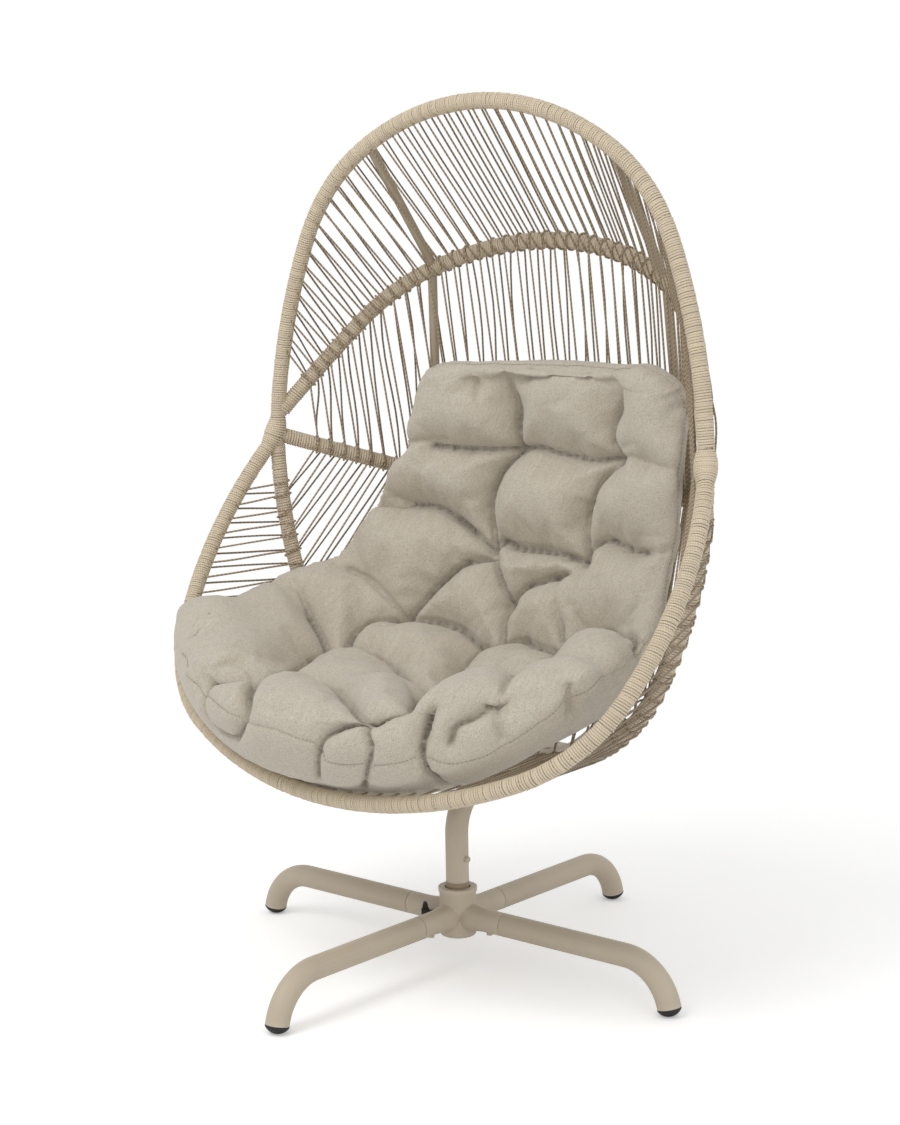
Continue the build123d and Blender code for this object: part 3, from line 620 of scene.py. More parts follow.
# the four webs: one cord each, laced to and fro round two hoops
roundSection = [(math.cos(step * math.pi / 3), math.sin(step * math.pi / 3)) for step in range(6)]
webs = {
    "cordRadius": 0.0017,
    "turnWidth": 0.0045,         # between the two strands of one turn round a hoop
    "turnSteps": 7, "strandSteps": 9,
    "underWinding": 0.0003,      # a sunk turn stands this much off the tube
    "wander": 0.0008,            # how unevenly the turns are spaced
    # painted light and shade: the turns round the hoops lighter, the back strands darker, the out strands a
    # little lighter
    "tones": {"turn": 1.15, "back": 0.78, "out": 1.05},
    "middle": (0, -0.02, 0.80),  # a point inside the basket
    # the two hoops, the share of each that is laced, whether a turn lies under the winding there
    "crownWeb": {"node": "crown_web", "hoops": ("arch", "upperHoop"), "turns": 52, "slack": 0.0004,
                 "spans": ((0.085, 0.915), (0.05, 0.95)), "sunk": (True, False)},
    "backWeb": {"node": "back_web", "hoops": ("upperHoop", "lowerHoop"), "turns": 42, "slack": 0.0022,
                "spans": ((0.055, 0.945), (0.045, 0.955)), "sunk": (False, False)},
    "lumbarWeb": {"node": "lumbar_web", "hoops": ("lowerHoop", "seatHoop"), "turns": 42, "slack": 0.0006,
                  "spans": ((0.05, 0.95), (0.05, 0.95)), "sunk": (False, False)},
    "seatWeb": {"node": "seat_web", "hoops": ("seatHoop", "rim"), "turns": 58, "slack": 0.0006,
                "spans": ((0.045, 0.955), (0.05, 0.95)), "sunk": (False, True)},
}


def turnRound(hoop, distance, other, radius, fromInside, values):
    # points of the cord as it goes round one hoop, away from the other hoop
    points = []
    inside = np.array(values["middle"])
    for share in np.arange(values["turnSteps"] + 1) / values["turnSteps"]:
        place, along, _ = (found[0] for found in hoop.at(distance + (share - 0.5) * values["turnWidth"]))
        pull = other - place
        pull -= along * pull.dot(along)
        pull /= np.linalg.norm(pull)
        side = np.cross(along, pull)
        if side.dot(inside - place) < 0:
            side = -side
        angle = math.pi * (share if fromInside else 1 - share)
        points.append(place + radius * (side * math.cos(angle) - pull * math.sin(angle)))
    return points


def lacePath(plan, values, seed):
    rng = np.random.default_rng(seed)
    upper, lower = (hoops[name] for name in plan["hoops"])
    underWinding = basket["tubeRadius"] + values["underWinding"]
    overWinding = basket["wrapRadius"] + values["cordRadius"]
    upperRadius, lowerRadius = (underWinding if sunk else overWinding for sunk in plan["sunk"])
    turns = plan["turns"]
    (upperStart, upperEnd), (lowerStart, lowerEnd) = plan["spans"]
    shades = values["tones"]
    points, tones = [], []

    def addTurn(turn):
        points.extend(turn)
        tones.extend([shades["turn"]] * len(turn))

    def addStrand(start, end, tone):
        direction = end - start
        bend = np.cross(direction, (1, 0, 0))
        bend /= np.linalg.norm(bend)
        sway = rng.normal(0, plan["slack"], 2)
        for step in range(1, values["strandSteps"]):
            share = step / values["strandSteps"]
            bow = math.sin(math.pi * share) * sway[0] + math.sin(2 * math.pi * share) * sway[1]
            points.append(start + direction * share + bend * bow + np.array((1, 0, 0)) * bow * 0.8)
            tones.append(tone)

    for turn in range(turns):
        upperShare = upperStart + (upperEnd - upperStart) * (turn + 0.5) / turns
        lowerShare = lowerStart + (lowerEnd - lowerStart) * (turn + 1) / turns
        upperAt = upperShare * upper.length + rng.normal(0, values["wander"])
        lowerAt = lowerShare * lower.length + rng.normal(0, values["wander"])
        upperPlace, lowerPlace = upper.at(upperAt)[0][0], lower.at(lowerAt)[0][0]
        upperTurn = turnRound(upper, upperAt, lowerPlace, upperRadius, False, values)
        lowerTurn = turnRound(lower, lowerAt, upperPlace, lowerRadius, True, values)
        if turn:
            addStrand(points[-1], upperTurn[0], shades["back"])
        addTurn(upperTurn)
        addStrand(upperTurn[-1], lowerTurn[0], shades["out"])
        addTurn(lowerTurn)
    return np.array(points), np.array(tones)


def tubeAlong(name, path, tones, radius, material):
    along = np.gradient(path, axis=0)
    along /= np.linalg.norm(along, axis=1)[:, None]
    # carry one side vector along the path so that the tube doesn't twist
    side = np.zeros_like(path)
    current = np.cross(along[0], (0.3, 0.2, 0.9))
    for index, direction in enumerate(along):
        current = current - direction * current.dot(direction)
        current /= np.linalg.norm(current)
        side[index] = current
    rings = ringsRound(path, side, np.cross(along, side), radius, radius, roundSection)
    return meshFromRings(name, rings, distanceAlong(path), tones, material)


def laceWebs(values):
    for number, name in enumerate(("crownWeb", "backWeb", "lumbarWeb", "seatWeb")):
        plan = values[name]
        path, tones = lacePath(plan, values, 40 + number)
        piece = tubeAlong(name, path, tones, values["cordRadius"], finishes["webCord"])
        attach(piece, "seat")
        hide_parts(plan["node"])
        print("laced", name, round(distanceAlong(path)[-1], 1), "m of cord")


laceWebs(webs)

# the cushion: one tufted, boxed pad, drawn by sections round the side joints
cushion = {
    # angle, low half width and depth, depth below the middle, high half width and depth, face depth
    "sections": (
        (-139.0, 0.330, 0.440, 0.545, 0.350, 0.405, 0.505),
        (-131.0, 0.410, 0.450, 0.610, 0.462, 0.345, 0.458),
        (-125.2, 0.395, 0.440, 0.605, 0.448, 0.345, 0.438),
        (-106.0, 0.370, 0.390, 0.518, 0.420, 0.270, 0.372),
        (-90.0, 0.345, 0.345, 0.501, 0.385, 0.225, 0.325),
        (-72.0, 0.325, 0.240, 0.344, 0.345, 0.140, 0.206),
        (-45.0, 0.310, 0.150, 0.269, 0.325, 0.060, 0.130),
        (-21.3, 0.295, 0.135, 0.266, 0.310, 0.045, 0.112),
        (2.0, 0.290, 0.120, 0.233, 0.300, 0.040, 0.106),
        (20.0, 0.278, 0.125, 0.232, 0.290, 0.055, 0.116),
        (36.0, 0.270, 0.145, 0.226, 0.282, 0.088, 0.136),
        (45.0, 0.256, 0.165, 0.214, 0.266, 0.125, 0.156),
    ),
    # angle, how far the left side bulges past its section, how far the right side does
    "bulge": ((-140.0, 0.036, 0.034), (-134, 0.044, 0.028), (-129, 0.036, 0.014), (-126, 0.022, 0.0),
              (-120, 0.024, 0.0), (-106, 0.028, 0.0), (-88, 0.022, 0.0), (-77, 0.004, 0.0),
              (-60, -0.008, 0.010), (-45, -0.020, 0.010), (-21, -0.024, 0.004), (0, -0.014, 0.004),
              (20, 0.006, 0.004), (45.5, 0.022, 0.0)),
    "lean": 0.00068,             # sideways shift for each degree above -90
    "squareness": 3.2, "frontSquareness": 2.5, "endRoundness": 2.1,
    # angles over which these come in: the front's drawn back and the top's raised corners, the raised sides
    # of the seat, the fit to the rim, the rounder section of the front
    "frontCorners": (-112, -140), "topCorners": (15, 45), "raisedSides": (-80, -98), "fitToRim": (-113, -124),
    "rounder": (-100, -125),
    "narrowTop": 0.12, "narrowEnd": 0.03,    # how much the pad narrows where it thins out
    "slimmer": 0.008,            # the pad starts this much smaller, then swells
    "frontEnd": (-126.5, -140.0), "topEnd": (36.0, 45.5),
    "frontCorner": 10.0,         # degrees by which the front draws back at its corners
    "topCorner": 15.0,           # degrees by which the top reaches higher at its corners
    "overRim": ((-140, 0.002), (-129, 0.002), (-127, 0.016), (-110, 0.016)),  # angle, gap left to the rim
    "rimReach": 0.438,           # past this half width the front no longer follows the rim
    "sideRaise": 0.042,          # how much higher the sides of the seat stand than its sections
    "voxel": 0.0065,
    "ringSides": 120, "ringsAlong": 90, "ringsInEnd": 14,
    "frames": 20,
    "cloth": {"quality": 5, "mass": 0.2, "tension_stiffness": 12, "compression_stiffness": 12,
              "shear_stiffness": 6, "bending_stiffness": 0.3, "use_pressure": True,
              "uniform_pressure_force": 5.0, "shrink_min": -0.06},
    "holdRound": {"button": 0.014, "fold": 0.010}, "holdFold": 0.95, "holdUnderside": 0.5,
    "mostMove": 0.019, "backMove": 0.002,
    "foldScale": 2.0,
    # how far a fold's valley spreads, from its depth in mm, and beside a close neighbour
    "leastReach": 0.016, "reachPerDepth": 0.0021, "tightReach": 0.036,
    "dieAway": 0.060,            # length over which a loose end fades
    "nearOther": 0.02, "sitting": 0.55,  # an end on the sitting side with no other fold this near is loose
    "leastStrength": 0.15,
    "plump": 0.013,              # the sitting side stands this much higher between its folds
    "tuftDepth": 0.062, "tuftReach": 0.060,
    "foldPress": 0.008, "foldWidth": 0.0075, "fullPress": 0.040, "buttonPress": 0.007, "buttonWidth": 0.012,
    "seamGroove": 0.0022, "seamWidth": 0.006,
    "seamRadius": 0.0007, "stitch": 0.0042, "stitchGap": 0.0024,
    # one stitch: share of its length, how far it stands out, share of its thickness
    "stitchShape": ((0.0, -0.0018, 0.5), (0.15, -0.0012, 0.9), (0.5, -0.0008, 1.0), (0.85, -0.0012, 0.9),
                    (1.0, -0.0018, 0.5)),
}

# buttons and folds of the back: angle round the side joints, mm across
tufts = {"backLeft": (-8, -10), "backRight": (-8, 200), "lumbarLeft": (-66, -50), "lumbarRight": (-68, 150)}
folds = {
    # depth in mm, then angle and mm across
    "topSeam": (26, (52, -15), (45, -15), (30, -10), (10, -10), (-8, -10)),
    "topRight": (22, (52, 225), (45, 222), (35, 205), (23, 190), (8, 190), (-8, 200)),
    "topNotch": (24, (54, -75), (43, -75), (31, -66)),
    "upperLeftA": (12, (-17, -290), (-17, -240), (-18, -225), (-6, -185), (-1, -130)),
    "upperLeftB": (20, (-12, -160), (-11, -100), (-8, -10)),
    "upperMiddle": (26, (-8, -10), (-4, 30), (-8, 60), (-11, 135), (-8, 200)),
    "upperRight": (12, (-8, 200), (-4, 236), (-12, 300), (-16, 350)),
    "backLeft": (28, (-8, -10), (-24, -40), (-38, -55), (-51, -60), (-66, -50)),
    "backRight": (28, (-8, 200), (-28, 160), (-45, 145), (-57, 140), (-68, 150)),
    "lumbarLeft": (26, (-66, -50), (-60, -110), (-57, -160), (-58, -195), (-63, -270), (-65, -330)),
    "lumbarMiddle": (26, (-66, -50), (-62, -35), (-64, 0), (-64, 70), (-68, 150)),
    "lumbarRight": (22, (-68, 150), (-63, 160), (-61, 195), (-67, 250), (-72, 330)),
    "lumbarRightTop": (9, (-62, 260), (-65, 320)),
    "topFold": (9, (30, 70), (34, 110), (38, 130)),
    "shoulderFold": (8, (6, 230), (12, 262), (14, 285)),
}
# where the filling stands proud: height in mm, spread in mm, then angle and mm across
mounds = {
    "bolsterLeft": (14, 75, (-98, -372), (-112, -392), (-122, -400)),
    "rollRight": (30, 80, (-113, 190), (-108, 260), (-104, 345)),
    "rollMiddle": (16, 60, (-112, 60), (-108, 110)),
    "seatCentre": (14, 70, (-108, -130), (-110, -70)),
    "shoulderLeft": (12, 60, (30, -130), (20, -110)),
    "cornerLeft": (16, 45, (46, -175), (46, -140)),
    "cornerRight": (16, 45, (46, 262), (42, 285)),
    "lobeFront": (20, 62, (-130, -90), (-131, 40)),
    "rollFront": (16, 55, (-127, 235), (-121, 300)),
}
# folds of the seat and its front roll: depth in mm, then mm across, behind the swivel axis, above the floor
seatFolds = {
    "bolsterBack": (26, (-370, 15, 580), (-320, -5, 555), (-280, -20, 535), (-230, -50, 510)),
    "bolsterFront": (24, (-155, -235, 505), (-220, -135, 500), (-245, -70, 510), (-230, -50, 510)),
    "earTop": (26, (-255, -320, 495), (-235, -315, 515), (-190, -300, 515), (-165, -275, 510)),
    "earCrease": (9, (-250, -295, 520), (-230, -270, 520), (-200, -265, 515), (-165, -275, 510)),
    "earRight": (23, (-165, -275, 510), (-125, -345, 500), (-115, -365, 480), (-120, -365, 450),
                 (-155, -345, 420)),
    "earLeft": (19, (-255, -320, 495), (-245, -330, 465), (-235, -320, 425), (-160, -345, 420)),
    "lobeTop": (26, (-165, -275, 510), (-155, -235, 505), (-100, -215, 495), (-30, -240, 495),
                (90, -325, 505), (125, -345, 500)),
    "lobeBack": (24, (125, -345, 500), (170, -300, 515), (70, -160, 485), (70, -120, 480)),
    "seatFrontTop": (24, (-230, -50, 510), (-210, -35, 510), (-165, -15, 505), (-105, -30, 490),
                     (-35, -70, 475), (70, -120, 480)),
    "seatLeftSide": (24, (-210, -35, 510), (-235, 15, 535), (-230, 50, 550), (-180, 75, 555)),
    "seatBackTop": (24, (-180, 75, 555), (-120, 85, 555), (-70, 85, 550), (-5, 70, 525)),
    "seatLeftUp": (26, (-180, 75, 555), (-145, 110, 600), (-100, 130, 645), (-40, 140, 660)),
    "waistLeftOut": (14, (-180, 75, 555), (-230, 85, 585), (-270, 90, 605), (-315, 90, 615)),
    "waistLeft": (24, (-40, 140, 660), (-15, 125, 625), (15, 110, 590)),
    "waistRight": (24, (165, 130, 655), (95, 130, 640), (40, 125, 620), (15, 110, 590)),
    "middleFold": (22, (15, 110, 590), (15, 100, 565), (30, 75, 535)),
    "seatMiddle": (24, (-5, 70, 525), (-10, 45, 505), (15, -30, 485), (70, -120, 480)),
    "rearLobeTop": (22, (-10, 45, 510), (10, 65, 525), (30, 75, 535), (70, 85, 545)),
    "rollRear": (24, (70, 85, 545), (105, 75, 540), (165, 55, 545), (200, 80, 565), (245, 80, 580),
                 (330, 30, 575), (390, -15, 575)),
    "rearLobeFront": (18, (70, -75, 480), (100, -55, 485), (160, -95, 495), (250, -130, 515), (250, -50, 530),
                      (165, 55, 545)),
    "rollPleatTop": (12, (250, -130, 515), (290, -220, 535), (300, -260, 530)),
    "rollPleatLeft": (17, (300, -260, 530), (280, -280, 510), (255, -300, 495), (250, -305, 460)),
    "rollPleatDown": (12, (300, -260, 530), (305, -265, 505), (315, -260, 465)),
    "deepFold": (26, (205, -290, 525), (215, -325, 475), (205, -320, 435), (200, -295, 400),
                 (185, -235, 370)),
    "pleatLeft": (23, (125, -345, 500), (90, -360, 485), (50, -370, 455), (35, -365, 425), (5, -330, 375)),
    "pleatRight": (20, (125, -345, 500), (120, -355, 480), (135, -350, 445), (100, -320, 400),
                   (60, -285, 360)),
    "rollEnd": (12, (385, -190, 555), (390, -185, 525), (375, -165, 490)),
    "rightFold": (18, (120, 115, 610), (140, 95, 575), (165, 55, 545)),
    "cornerCrease": (8, (285, 75, 590), (365, -15, 570)),
    "elbow": (9, (-315, 100, 630), (-285, 105, 625)),
}
# pleats close beside each other, so each spreads less
tightFolds = ("pleatLeft", "pleatRight", "deepFold", "earRight", "earLeft", "rollPleatLeft", "rollPleatDown")
seatTufts = {
    "lobeMiddle": (125, -345, 500), "rollMiddle": (300, -260, 530), "earBack": (-165, -275, 510),
    "bolsterLow": (-155, -235, 505), "bolsterHigh": (-230, -50, 510), "seatBack": (-180, 75, 555),
    "seatFront": (70, -120, 480), "seatCentre": (-5, 70, 525), "middle": (15, 110, 590),
    "rollRear": (165, 55, 545),
}
# the boxing seam along the front, where it dips into the folds between the lobes
frontSeam = (
    (-400, -120, 535), (-350, -230, 505), (-300, -290, 490), (-255, -325, 480), (-205, -345, 480),
    (-140, -365, 465), (-100, -370, 460), (-35, -375, 460), (40, -370, 445), (45, -360, 415),
    (120, -345, 415), (205, -320, 435), (250, -290, 425), (285, -265, 435), (330, -245, 465),
    (360, -225, 490), (385, -190, 515), (400, -140, 540),
)


def readRim():
    # half width of the rim and its distance from the side joints, from the middle to where it is widest
    points = hoops["rim"].points
    _, y, z = basket["sideJoint"]
    middle, widest = len(points) // 2, int(points[:, 0].argmax())
    part = points[middle:widest]
    return part[:, 0], np.hypot(part[:, 1] - y, part[:, 2] - z)


rimCurve = readRim()


def smoothRow(angle, values):
    # the section between the drawn ones, with their corners eased
    table = np.array(values["sections"])
    near = [angle - 5, angle, angle + 5]
    return np.array([np.interp(near, table[:, 0], column).mean() for column in table.T[1:]])


def comesIn(angle, span):
    # 0 at the first of the two angles, 1 at the second
    start, stop = span
    return min(max((angle - start) / (stop - start), 0.0), 1.0)


def roundEnd(angle, end, roundness):
    return max(1 - comesIn(angle, end) ** roundness, 0.0) ** (1 / roundness)


def padPoint(angle, across, lift, values):
    # across: -1 left to 1 right, lift: -1 underside to 1 sitting side
    ends = (roundEnd(angle, values[end], values["endRoundness"]) for end in ("frontEnd", "topEnd"))
    thick = math.prod(ends)
    frontShare, topShare = comesIn(angle, values["frontCorners"]), comesIn(angle, values["topCorners"])
    angle += values["frontCorner"] * abs(across) ** 4 * frontShare**2
    angle += values["topCorner"] * across**2 * (1 - 0.55 * abs(across) ** 5) * topShare**2
    lowX, lowS, below, highX, highS, face = smoothRow(angle, values)
    width = lowX + (highX - lowX) * (lift + 1) / 2 - values["slimmer"]
    angles, left, right = np.array(values["bulge"]).T
    width += np.interp(angle, angles, left if across < 0 else right) * abs(across) ** 3
    raised = values["sideRaise"] * comesIn(angle, values["raisedSides"])
    top = face + (highS - raised - face) * across**2
    bottom = below + (lowS - below) * across**2
    onRim = comesIn(angle, values["fitToRim"])
    if onRim > 0:
        reach = min(abs(across) * width, values["rimReach"])
        gap = np.interp(angle, *np.array(values["overRim"]).T)
        bottom += (np.interp(reach, *rimCurve) - gap - bottom) * onRim
    half = max((bottom - top) / 2 - values["slimmer"] * (1 - onRim), 0.01) * max(thick, 0.03)
    depth = (top + bottom) / 2 - lift * half
    narrow = values["narrowTop"] * topShare**2 if angle > 0 else values["narrowEnd"]
    x = across * width * (1 - narrow * (1 - thick)) + values["lean"] * (angle + 90)
    turn = math.radians(angle)
    _, y, z = basket["sideJoint"]
    return (x, y + depth * math.cos(turn), z + depth * math.sin(turn))


def makePadBase(values):
    front, top = values["frontEnd"], values["topEnd"]
    inEnd, sides = values["ringsInEnd"], values["ringSides"]
    angles = np.concatenate([
        front[1] + (front[0] - front[1]) * (1 - np.cos(np.linspace(0.06, math.pi / 2, inEnd))),
        np.linspace(front[0], top[0], values["ringsAlong"])[1:-1],
        top[0] + (top[1] - top[0]) * np.sin(np.linspace(0, math.pi / 2 - 0.06, inEnd)),
    ])
    vertices = []
    for angle in angles:
        rounder = comesIn(angle, values["rounder"])
        power = 2 / (values["squareness"] + (values["frontSquareness"] - values["squareness"]) * rounder)
        for step in range(sides):
            turn = 2 * math.pi * step / sides
            parts = (math.cos(turn), math.sin(turn))
            across, lift = (math.copysign(abs(part) ** power, part) for part in parts)
            vertices.append(padPoint(angle, across, lift, values))
    return newPiece("seatCushion", vertices, stripFaces(len(angles), sides), finishes["linen"])


def afterModifier(piece, kind, **settings):
    # the mesh that a modifier gives, with the modifier gone
    modifier = piece.modifiers.new("shape", kind)
    for key, value in settings.items():
        setattr(modifier, key, value)
    graph = bpy.context.evaluated_depsgraph_get()
    mesh = bpy.data.meshes.new_from_object(piece.evaluated_get(graph))
    piece.modifiers.remove(modifier)
    old = piece.data
    piece.data = mesh
    bpy.data.meshes.remove(old)


def meshPoints(mesh):
    points = np.empty(len(mesh.vertices) * 3)
    mesh.vertices.foreach_get("co", points)
    return points.reshape(-1, 3)


def meshNormals(mesh):
    normals = np.empty(len(mesh.vertices) * 3)
    mesh.vertex_normals.foreach_get("vector", normals)
    return normals.reshape(-1, 3)


def surfaceTree(mesh):
    return BVHTree.FromPolygons(meshPoints(mesh).tolist(), [tuple(face.vertices) for face in mesh.polygons])


def ontoSurface(tree, spots):
    return np.array([tree.find_nearest(Vector(spot))[0] for spot in spots])


def setPoints(mesh, points):
    mesh.vertices.foreach_set("co", points.astype(np.float32).ravel())
    mesh.update()


def finely(line, step=0.004):
    # points set close together along a line, its corners eased
    line = np.array(line)
    lengths = distanceAlong(line)
    count = max(int(lengths[-1] / step), 2)
    where = np.linspace(0, lengths[-1], count + 1)
    fine = pointsAt(where, lengths, line)
    for _ in range(12):
        fine[1:-1] = (fine[:-2] + 2 * fine[1:-1] + fine[2:]) / 4
    return fine


def seatPoint(angle, across, values):
    x = across / 1000
    lowX, lowS, below, highX, highS, face = smoothRow(angle, values)
    share = min(abs((x - values["lean"] * (angle + 90)) / highX), 1.0)
    depth = face + (highS - face) * share**2
    _, y, z = basket["sideJoint"]
    turn = math.radians(angle)
    return (x, y + depth * math.cos(turn), z + depth * math.sin(turn))


def drawFolds(tree, values):
    # every fold as (depth, reach, points on the pad, how strong it is at each point), and the buttons
    _, y, z = basket["sideJoint"]
    drawn = {"back " + name: (depth, [seatPoint(*spot, values) for spot in spots])
             for name, (depth, *spots) in folds.items()}
    drawn.update({name: (depth, np.array(spots) / 1000) for name, (depth, *spots) in seatFolds.items()})
    spots = [seatPoint(*spot, values) for spot in tufts.values()]
    buttons = ontoSurface(tree, spots + list(np.array(list(seatTufts.values())) / 1000))
    placed = [ontoSurface(tree, finely(line)) for _, line in drawn.values()]
    lines = []
    for number, (name, (depth, _)) in enumerate(drawn.items()):
        line = placed[number]
        others = np.concatenate([other for index, other in enumerate(placed) if index != number] + [buttons])
        strength = np.ones(len(line))
        for end in (0, -1):
            normal = tree.find_nearest(Vector(line[end]))[1]
            inward = Vector((0, y - line[end][1], z - line[end][2])).normalized()
            alone = np.linalg.norm(others - line[end], axis=1).min() > values["nearOther"]
            if alone and normal.dot(inward) > values["sitting"]:
                # a fold that ends on its own dies away
                away = np.linalg.norm(line - line[end], axis=1) / values["dieAway"]
                strength = np.minimum(strength, np.clip(away, values["leastStrength"], 1))
        reach = values["leastReach"] + values["reachPerDepth"] * depth
        if name in tightFolds:
            reach = values["tightReach"]
        lines.append((depth / 1000 * values["foldScale"], reach, line, strength))
    return lines, buttons


def nearestDistance(points, line):
    # distance of every point to a line of close points, and which of them it is
    tree = KDTree(len(line))
    for index, spot in enumerate(line):
        tree.insert(spot, index)
    tree.balance()
    found = np.array([tree.find(point)[1:] for point in points]).reshape(-1, 2)
    return found[:, 1], found[:, 0].astype(int)


def roundValley(distance, reach):
    # 1 in the fold, 0 at its reach, with the round shoulders of a filled lobe
    share = 1 - np.clip(distance / reach, 0, 1)
    return 1 - np.sqrt(np.maximum(1 - share**2, 0))


def closeTo(points, line, reach):
    # which points a fold can touch at all
    return np.abs(points - line.mean(0)).max(1) < reach + np.abs(line - line.mean(0)).max()


def valleyDepth(points, lines, buttons, values):
    # depth of the valleys, and how near the next fold and the next button are
    total = np.zeros(len(points))
    nearest = np.full(len(points), 1.0)
    for depth, reach, line, strength in lines:
        close = closeTo(points, line, reach)
        distance, index = nearestDistance(points[close], line)
        total[close] += (depth * strength[index] * roundValley(distance, reach)) ** 4
        # a weak or shallow fold counts as a little further away
        distance = distance + (1 - strength[index]) * 0.02 + max(0.03 - depth, 0) * 0.4
        nearest[close] = np.minimum(nearest[close], distance)
    distance = np.linalg.norm(points[:, None] - buttons[None], axis=2).min(1)
    total += (values["tuftDepth"] * roundValley(distance, values["tuftReach"])) ** 4
    return total**0.25, nearest, distance


def moundHeight(points, tree, values):
    height = np.zeros(len(points))
    for rise, spread, *spots in mounds.values():
        line = finely(ontoSurface(tree, [seatPoint(*spot, values) for spot in spots]))
        distance, _ = nearestDistance(points, line)
        height = np.maximum(height, rise / 1000 * np.exp(-(distance / (spread / 1000)) ** 2))
    return height


def swell(piece, start, lift, foldNear, buttonNear, values):
    # cloth filled under pressure, held at its buttons, softly at its folds and underside
    near = values["holdRound"]
    hold = np.clip(1 - buttonNear / near["button"], 0, 1)
    hold = np.maximum(hold, values["holdFold"] * np.clip(1 - foldNear / near["fold"], 0, 1) ** 0.7)
    hold = np.maximum(hold, values["holdUnderside"] * np.clip(-lift * 1.5, 0, 1))
    group = piece.vertex_groups.new(name="held")
    for index in np.nonzero(hold > 0.01)[0]:
        group.add([int(index)], float(hold[index]), "REPLACE")
    modifier = piece.modifiers.new("fill", "CLOTH")
    cloth = modifier.settings
    for key, value in values["cloth"].items():
        setattr(cloth, key, value)
    cloth.vertex_group_mass = "held"
    cloth.effector_weights.gravity = 0
    modifier.point_cache.frame_start = 1
    modifier.point_cache.frame_end = values["frames"]
    scene = bpy.context.scene
    for number in range(1, values["frames"] + 1):
        scene.frame_set(number)
    graph = bpy.context.evaluated_depsgraph_get()
    swollen = bpy.data.meshes.new_from_object(piece.evaluated_get(graph))
    moved = meshPoints(swollen) - start
    bpy.data.meshes.remove(swollen)
    piece.modifiers.remove(modifier)
    piece.vertex_groups.remove(group)
    scene.frame_set(1)
    far = np.linalg.norm(moved, axis=1)
    most = np.where(lift < -0.1, values["backMove"], values["mostMove"])
    moved *= (np.minimum(far, most) / np.maximum(far, 1e-9))[:, None]
    print("cloth moved up to", round(float(far.max()), 4), "m")
    return start + moved


def makeCushion(values):
    piece = makePadBase(values)
    afterModifier(piece, "REMESH", mode="VOXEL", voxel_size=values["voxel"])
    mesh = piece.data
    points, normals = meshPoints(mesh), meshNormals(mesh)
    tree = surfaceTree(mesh)
    lines, buttons = drawFolds(tree, values)
    # towards the side joints is the sitting side, away from them the underside
    _, y, z = basket["sideJoint"]
    radial = np.stack([np.zeros(len(points)), points[:, 1] - y, points[:, 2] - z], 1)
    radial /= np.linalg.norm(radial, axis=1)[:, None]
    lift = -(normals * radial).sum(1)
    depth, foldNear, buttonNear = valleyDepth(points, lines, buttons, values)
    depth *= np.clip(lift * 2 + 2.2, 0, 1)
    depth -= moundHeight(points, tree, values) + values["plump"] * np.clip(lift, 0, 1)
    start = easePoints(mesh, points - normals * depth[:, None], 1, 0.3)
    setPoints(mesh, start)
    start = swell(piece, start, lift, foldNear, buttonNear, values)
    setPoints(mesh, easePoints(mesh, start, 2, 0.4))
    rest = mesh.attributes.new("rest", "FLOAT_VECTOR", "POINT")
    rest.data.foreach_set("vector", points.astype(np.float32).ravel())
    afterModifier(piece, "SUBSURF", levels=1)
    mesh = piece.data
    pressFolds(mesh, lines, buttons, values)
    mesh.shade_smooth()
    mesh.materials.clear()
    mesh.materials.append(finishes["linen"])
    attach(piece, "seat")
    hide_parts("cushion")
    print("cushion:", len(mesh.vertices), "vertices")
    return piece


def easePoints(mesh, points, rounds, amount):
    # each point drawn a little towards the middle of its neighbours
    edges = np.empty(len(mesh.edges) * 2, dtype=np.int32)
    mesh.edges.foreach_get("vertices", edges)
    first, second = edges.reshape(-1, 2).T
    count = np.bincount(edges, minlength=len(points))[:, None]
    for _ in range(rounds):
        total = np.zeros_like(points)
        np.add.at(total, first, points[second])
        np.add.at(total, second, points[first])
        points = points + (total / np.maximum(count, 1) - points) * amount
    return points


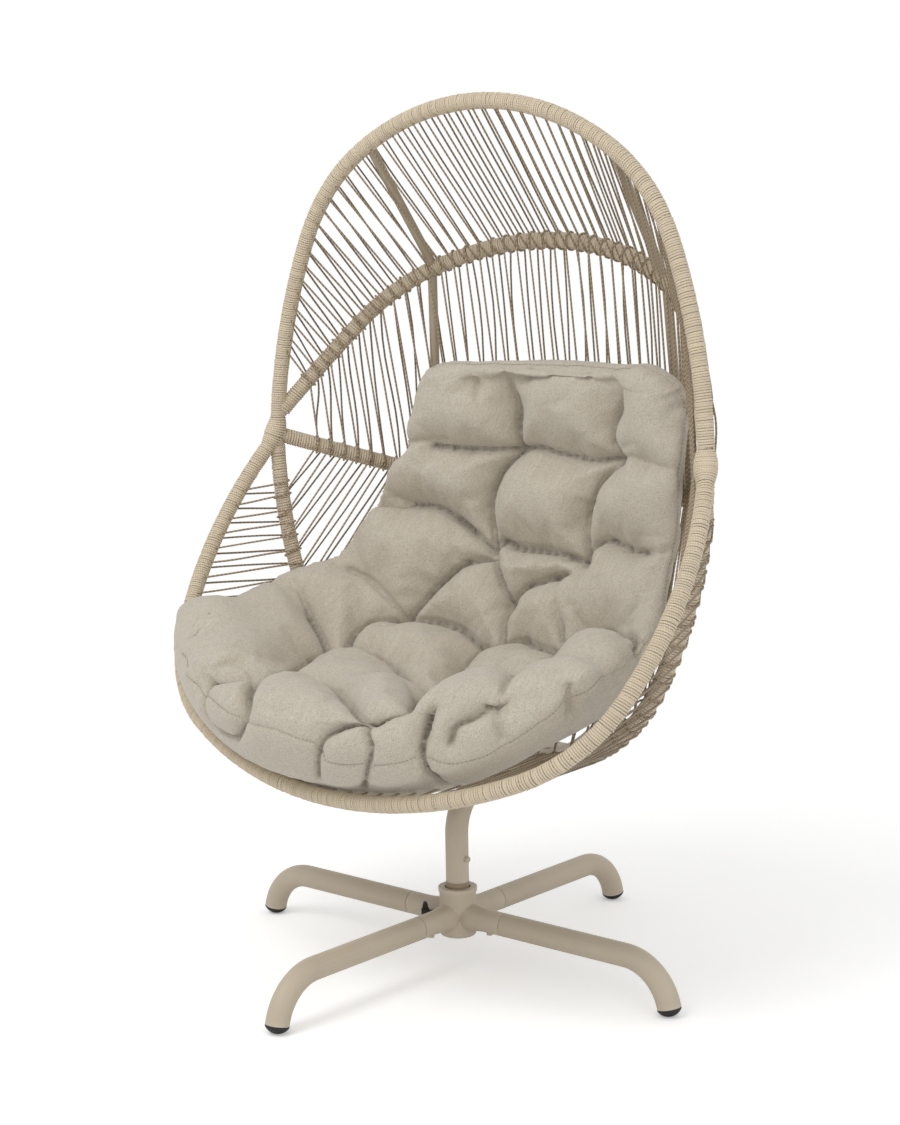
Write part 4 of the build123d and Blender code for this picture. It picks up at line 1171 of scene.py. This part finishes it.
def pressFolds(mesh, lines, buttons, values):
    # the narrow bottom of each fold, once the surface is fine enough to hold it
    rest = np.empty(len(mesh.vertices) * 3, dtype=np.float32)
    mesh.attributes["rest"].data.foreach_get("vector", rest)
    rest = rest.reshape(-1, 3).astype(float)
    points, normals = meshPoints(mesh), meshNormals(mesh)
    push = np.zeros(len(points))
    for depth, _, line, strength in lines:
        close = closeTo(rest, line, 0.03)
        distance, index = nearestDistance(rest[close], line)
        share = np.clip(1 - distance / values["foldWidth"], 0, 1) ** 1.2 * strength[index]
        share *= min(depth / values["fullPress"], 1.0)
        push[close] = np.maximum(push[close], share * values["foldPress"])
    distance = np.linalg.norm(rest[:, None] - buttons[None], axis=2).min(1)
    push = np.maximum(push, np.clip(1 - distance / values["buttonWidth"], 0, 1) * values["buttonPress"])
    setPoints(mesh, points - normals * push[:, None])
    # the push is kept as a mask for the painted shade in the folds
    storeValues(mesh, "fold", (push / values["foldPress"]).clip(0, 1))
    mesh.attributes.remove(mesh.attributes["rest"])


def seamLine(values):
    # the boxing seam: along the front, up one side, over the top and down the other
    line = [np.array(spot) / 1000 for spot in frontSeam]
    rightSide = [padPoint(angle, 0.995, 0.35, values) for angle in np.linspace(-124, 36, 60)]
    topSide = [padPoint(44.8, across, 0.5, values) for across in np.linspace(0.93, -0.93, 30)]
    leftSide = [padPoint(angle, -0.995, 0.35, values) for angle in np.linspace(36, -124, 60)]
    return finely(line + rightSide + topSide + leftSide + line[:1], 0.0022)


def sewSeam(piece, values):
    mesh = piece.data
    tree = surfaceTree(mesh)
    found = [tree.find_nearest(Vector(spot)) for spot in seamLine(values)]
    placed, outward = (np.array([hit[part] for hit in found]) for part in (0, 1))
    for _ in range(3):
        placed[1:-1] = (placed[:-2] + placed[1:-1] + placed[2:]) / 3
    points, normals = meshPoints(mesh), meshNormals(mesh)
    distance, _ = nearestDistance(points, placed)
    groove = np.clip(1 - distance / values["seamWidth"], 0, 1) * values["seamGroove"]
    setPoints(mesh, points - normals * groove[:, None])
    along = distanceAlong(placed)
    share, lift, thin = np.array(values["stitchShape"]).T
    pitch = values["stitch"] + values["stitchGap"]
    vertices, faces = [], []
    for number in range(int(along[-1] / pitch)):
        where = number * pitch + values["stitch"] * share
        middle, normal = (pointsAt(where, along, line) for line in (placed, outward))
        normal /= np.linalg.norm(normal, axis=1)[:, None]
        middle += normal * lift[:, None]
        ahead = middle[-1] - middle[0]
        side = np.cross(ahead / max(np.linalg.norm(ahead), 1e-9), normal)
        thick = thin[:, None] * values["seamRadius"]
        rings = ringsRound(middle, normal * thick, side * thick, 1.0, 1.0, roundSection)
        faces += [[len(vertices) + corner for corner in face] for face in stripFaces(*rings.shape[:2])]
        vertices += rings.reshape(-1, 3).tolist()
    stitches = newPiece("cushionStitches", vertices, faces, finishes["thread"])
    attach(stitches, "seat")
    print("sewn:", round(along[-1], 2), "m of seam")


seatCushion = makeCushion(cushion)
sewSeam(seatCushion, cushion)
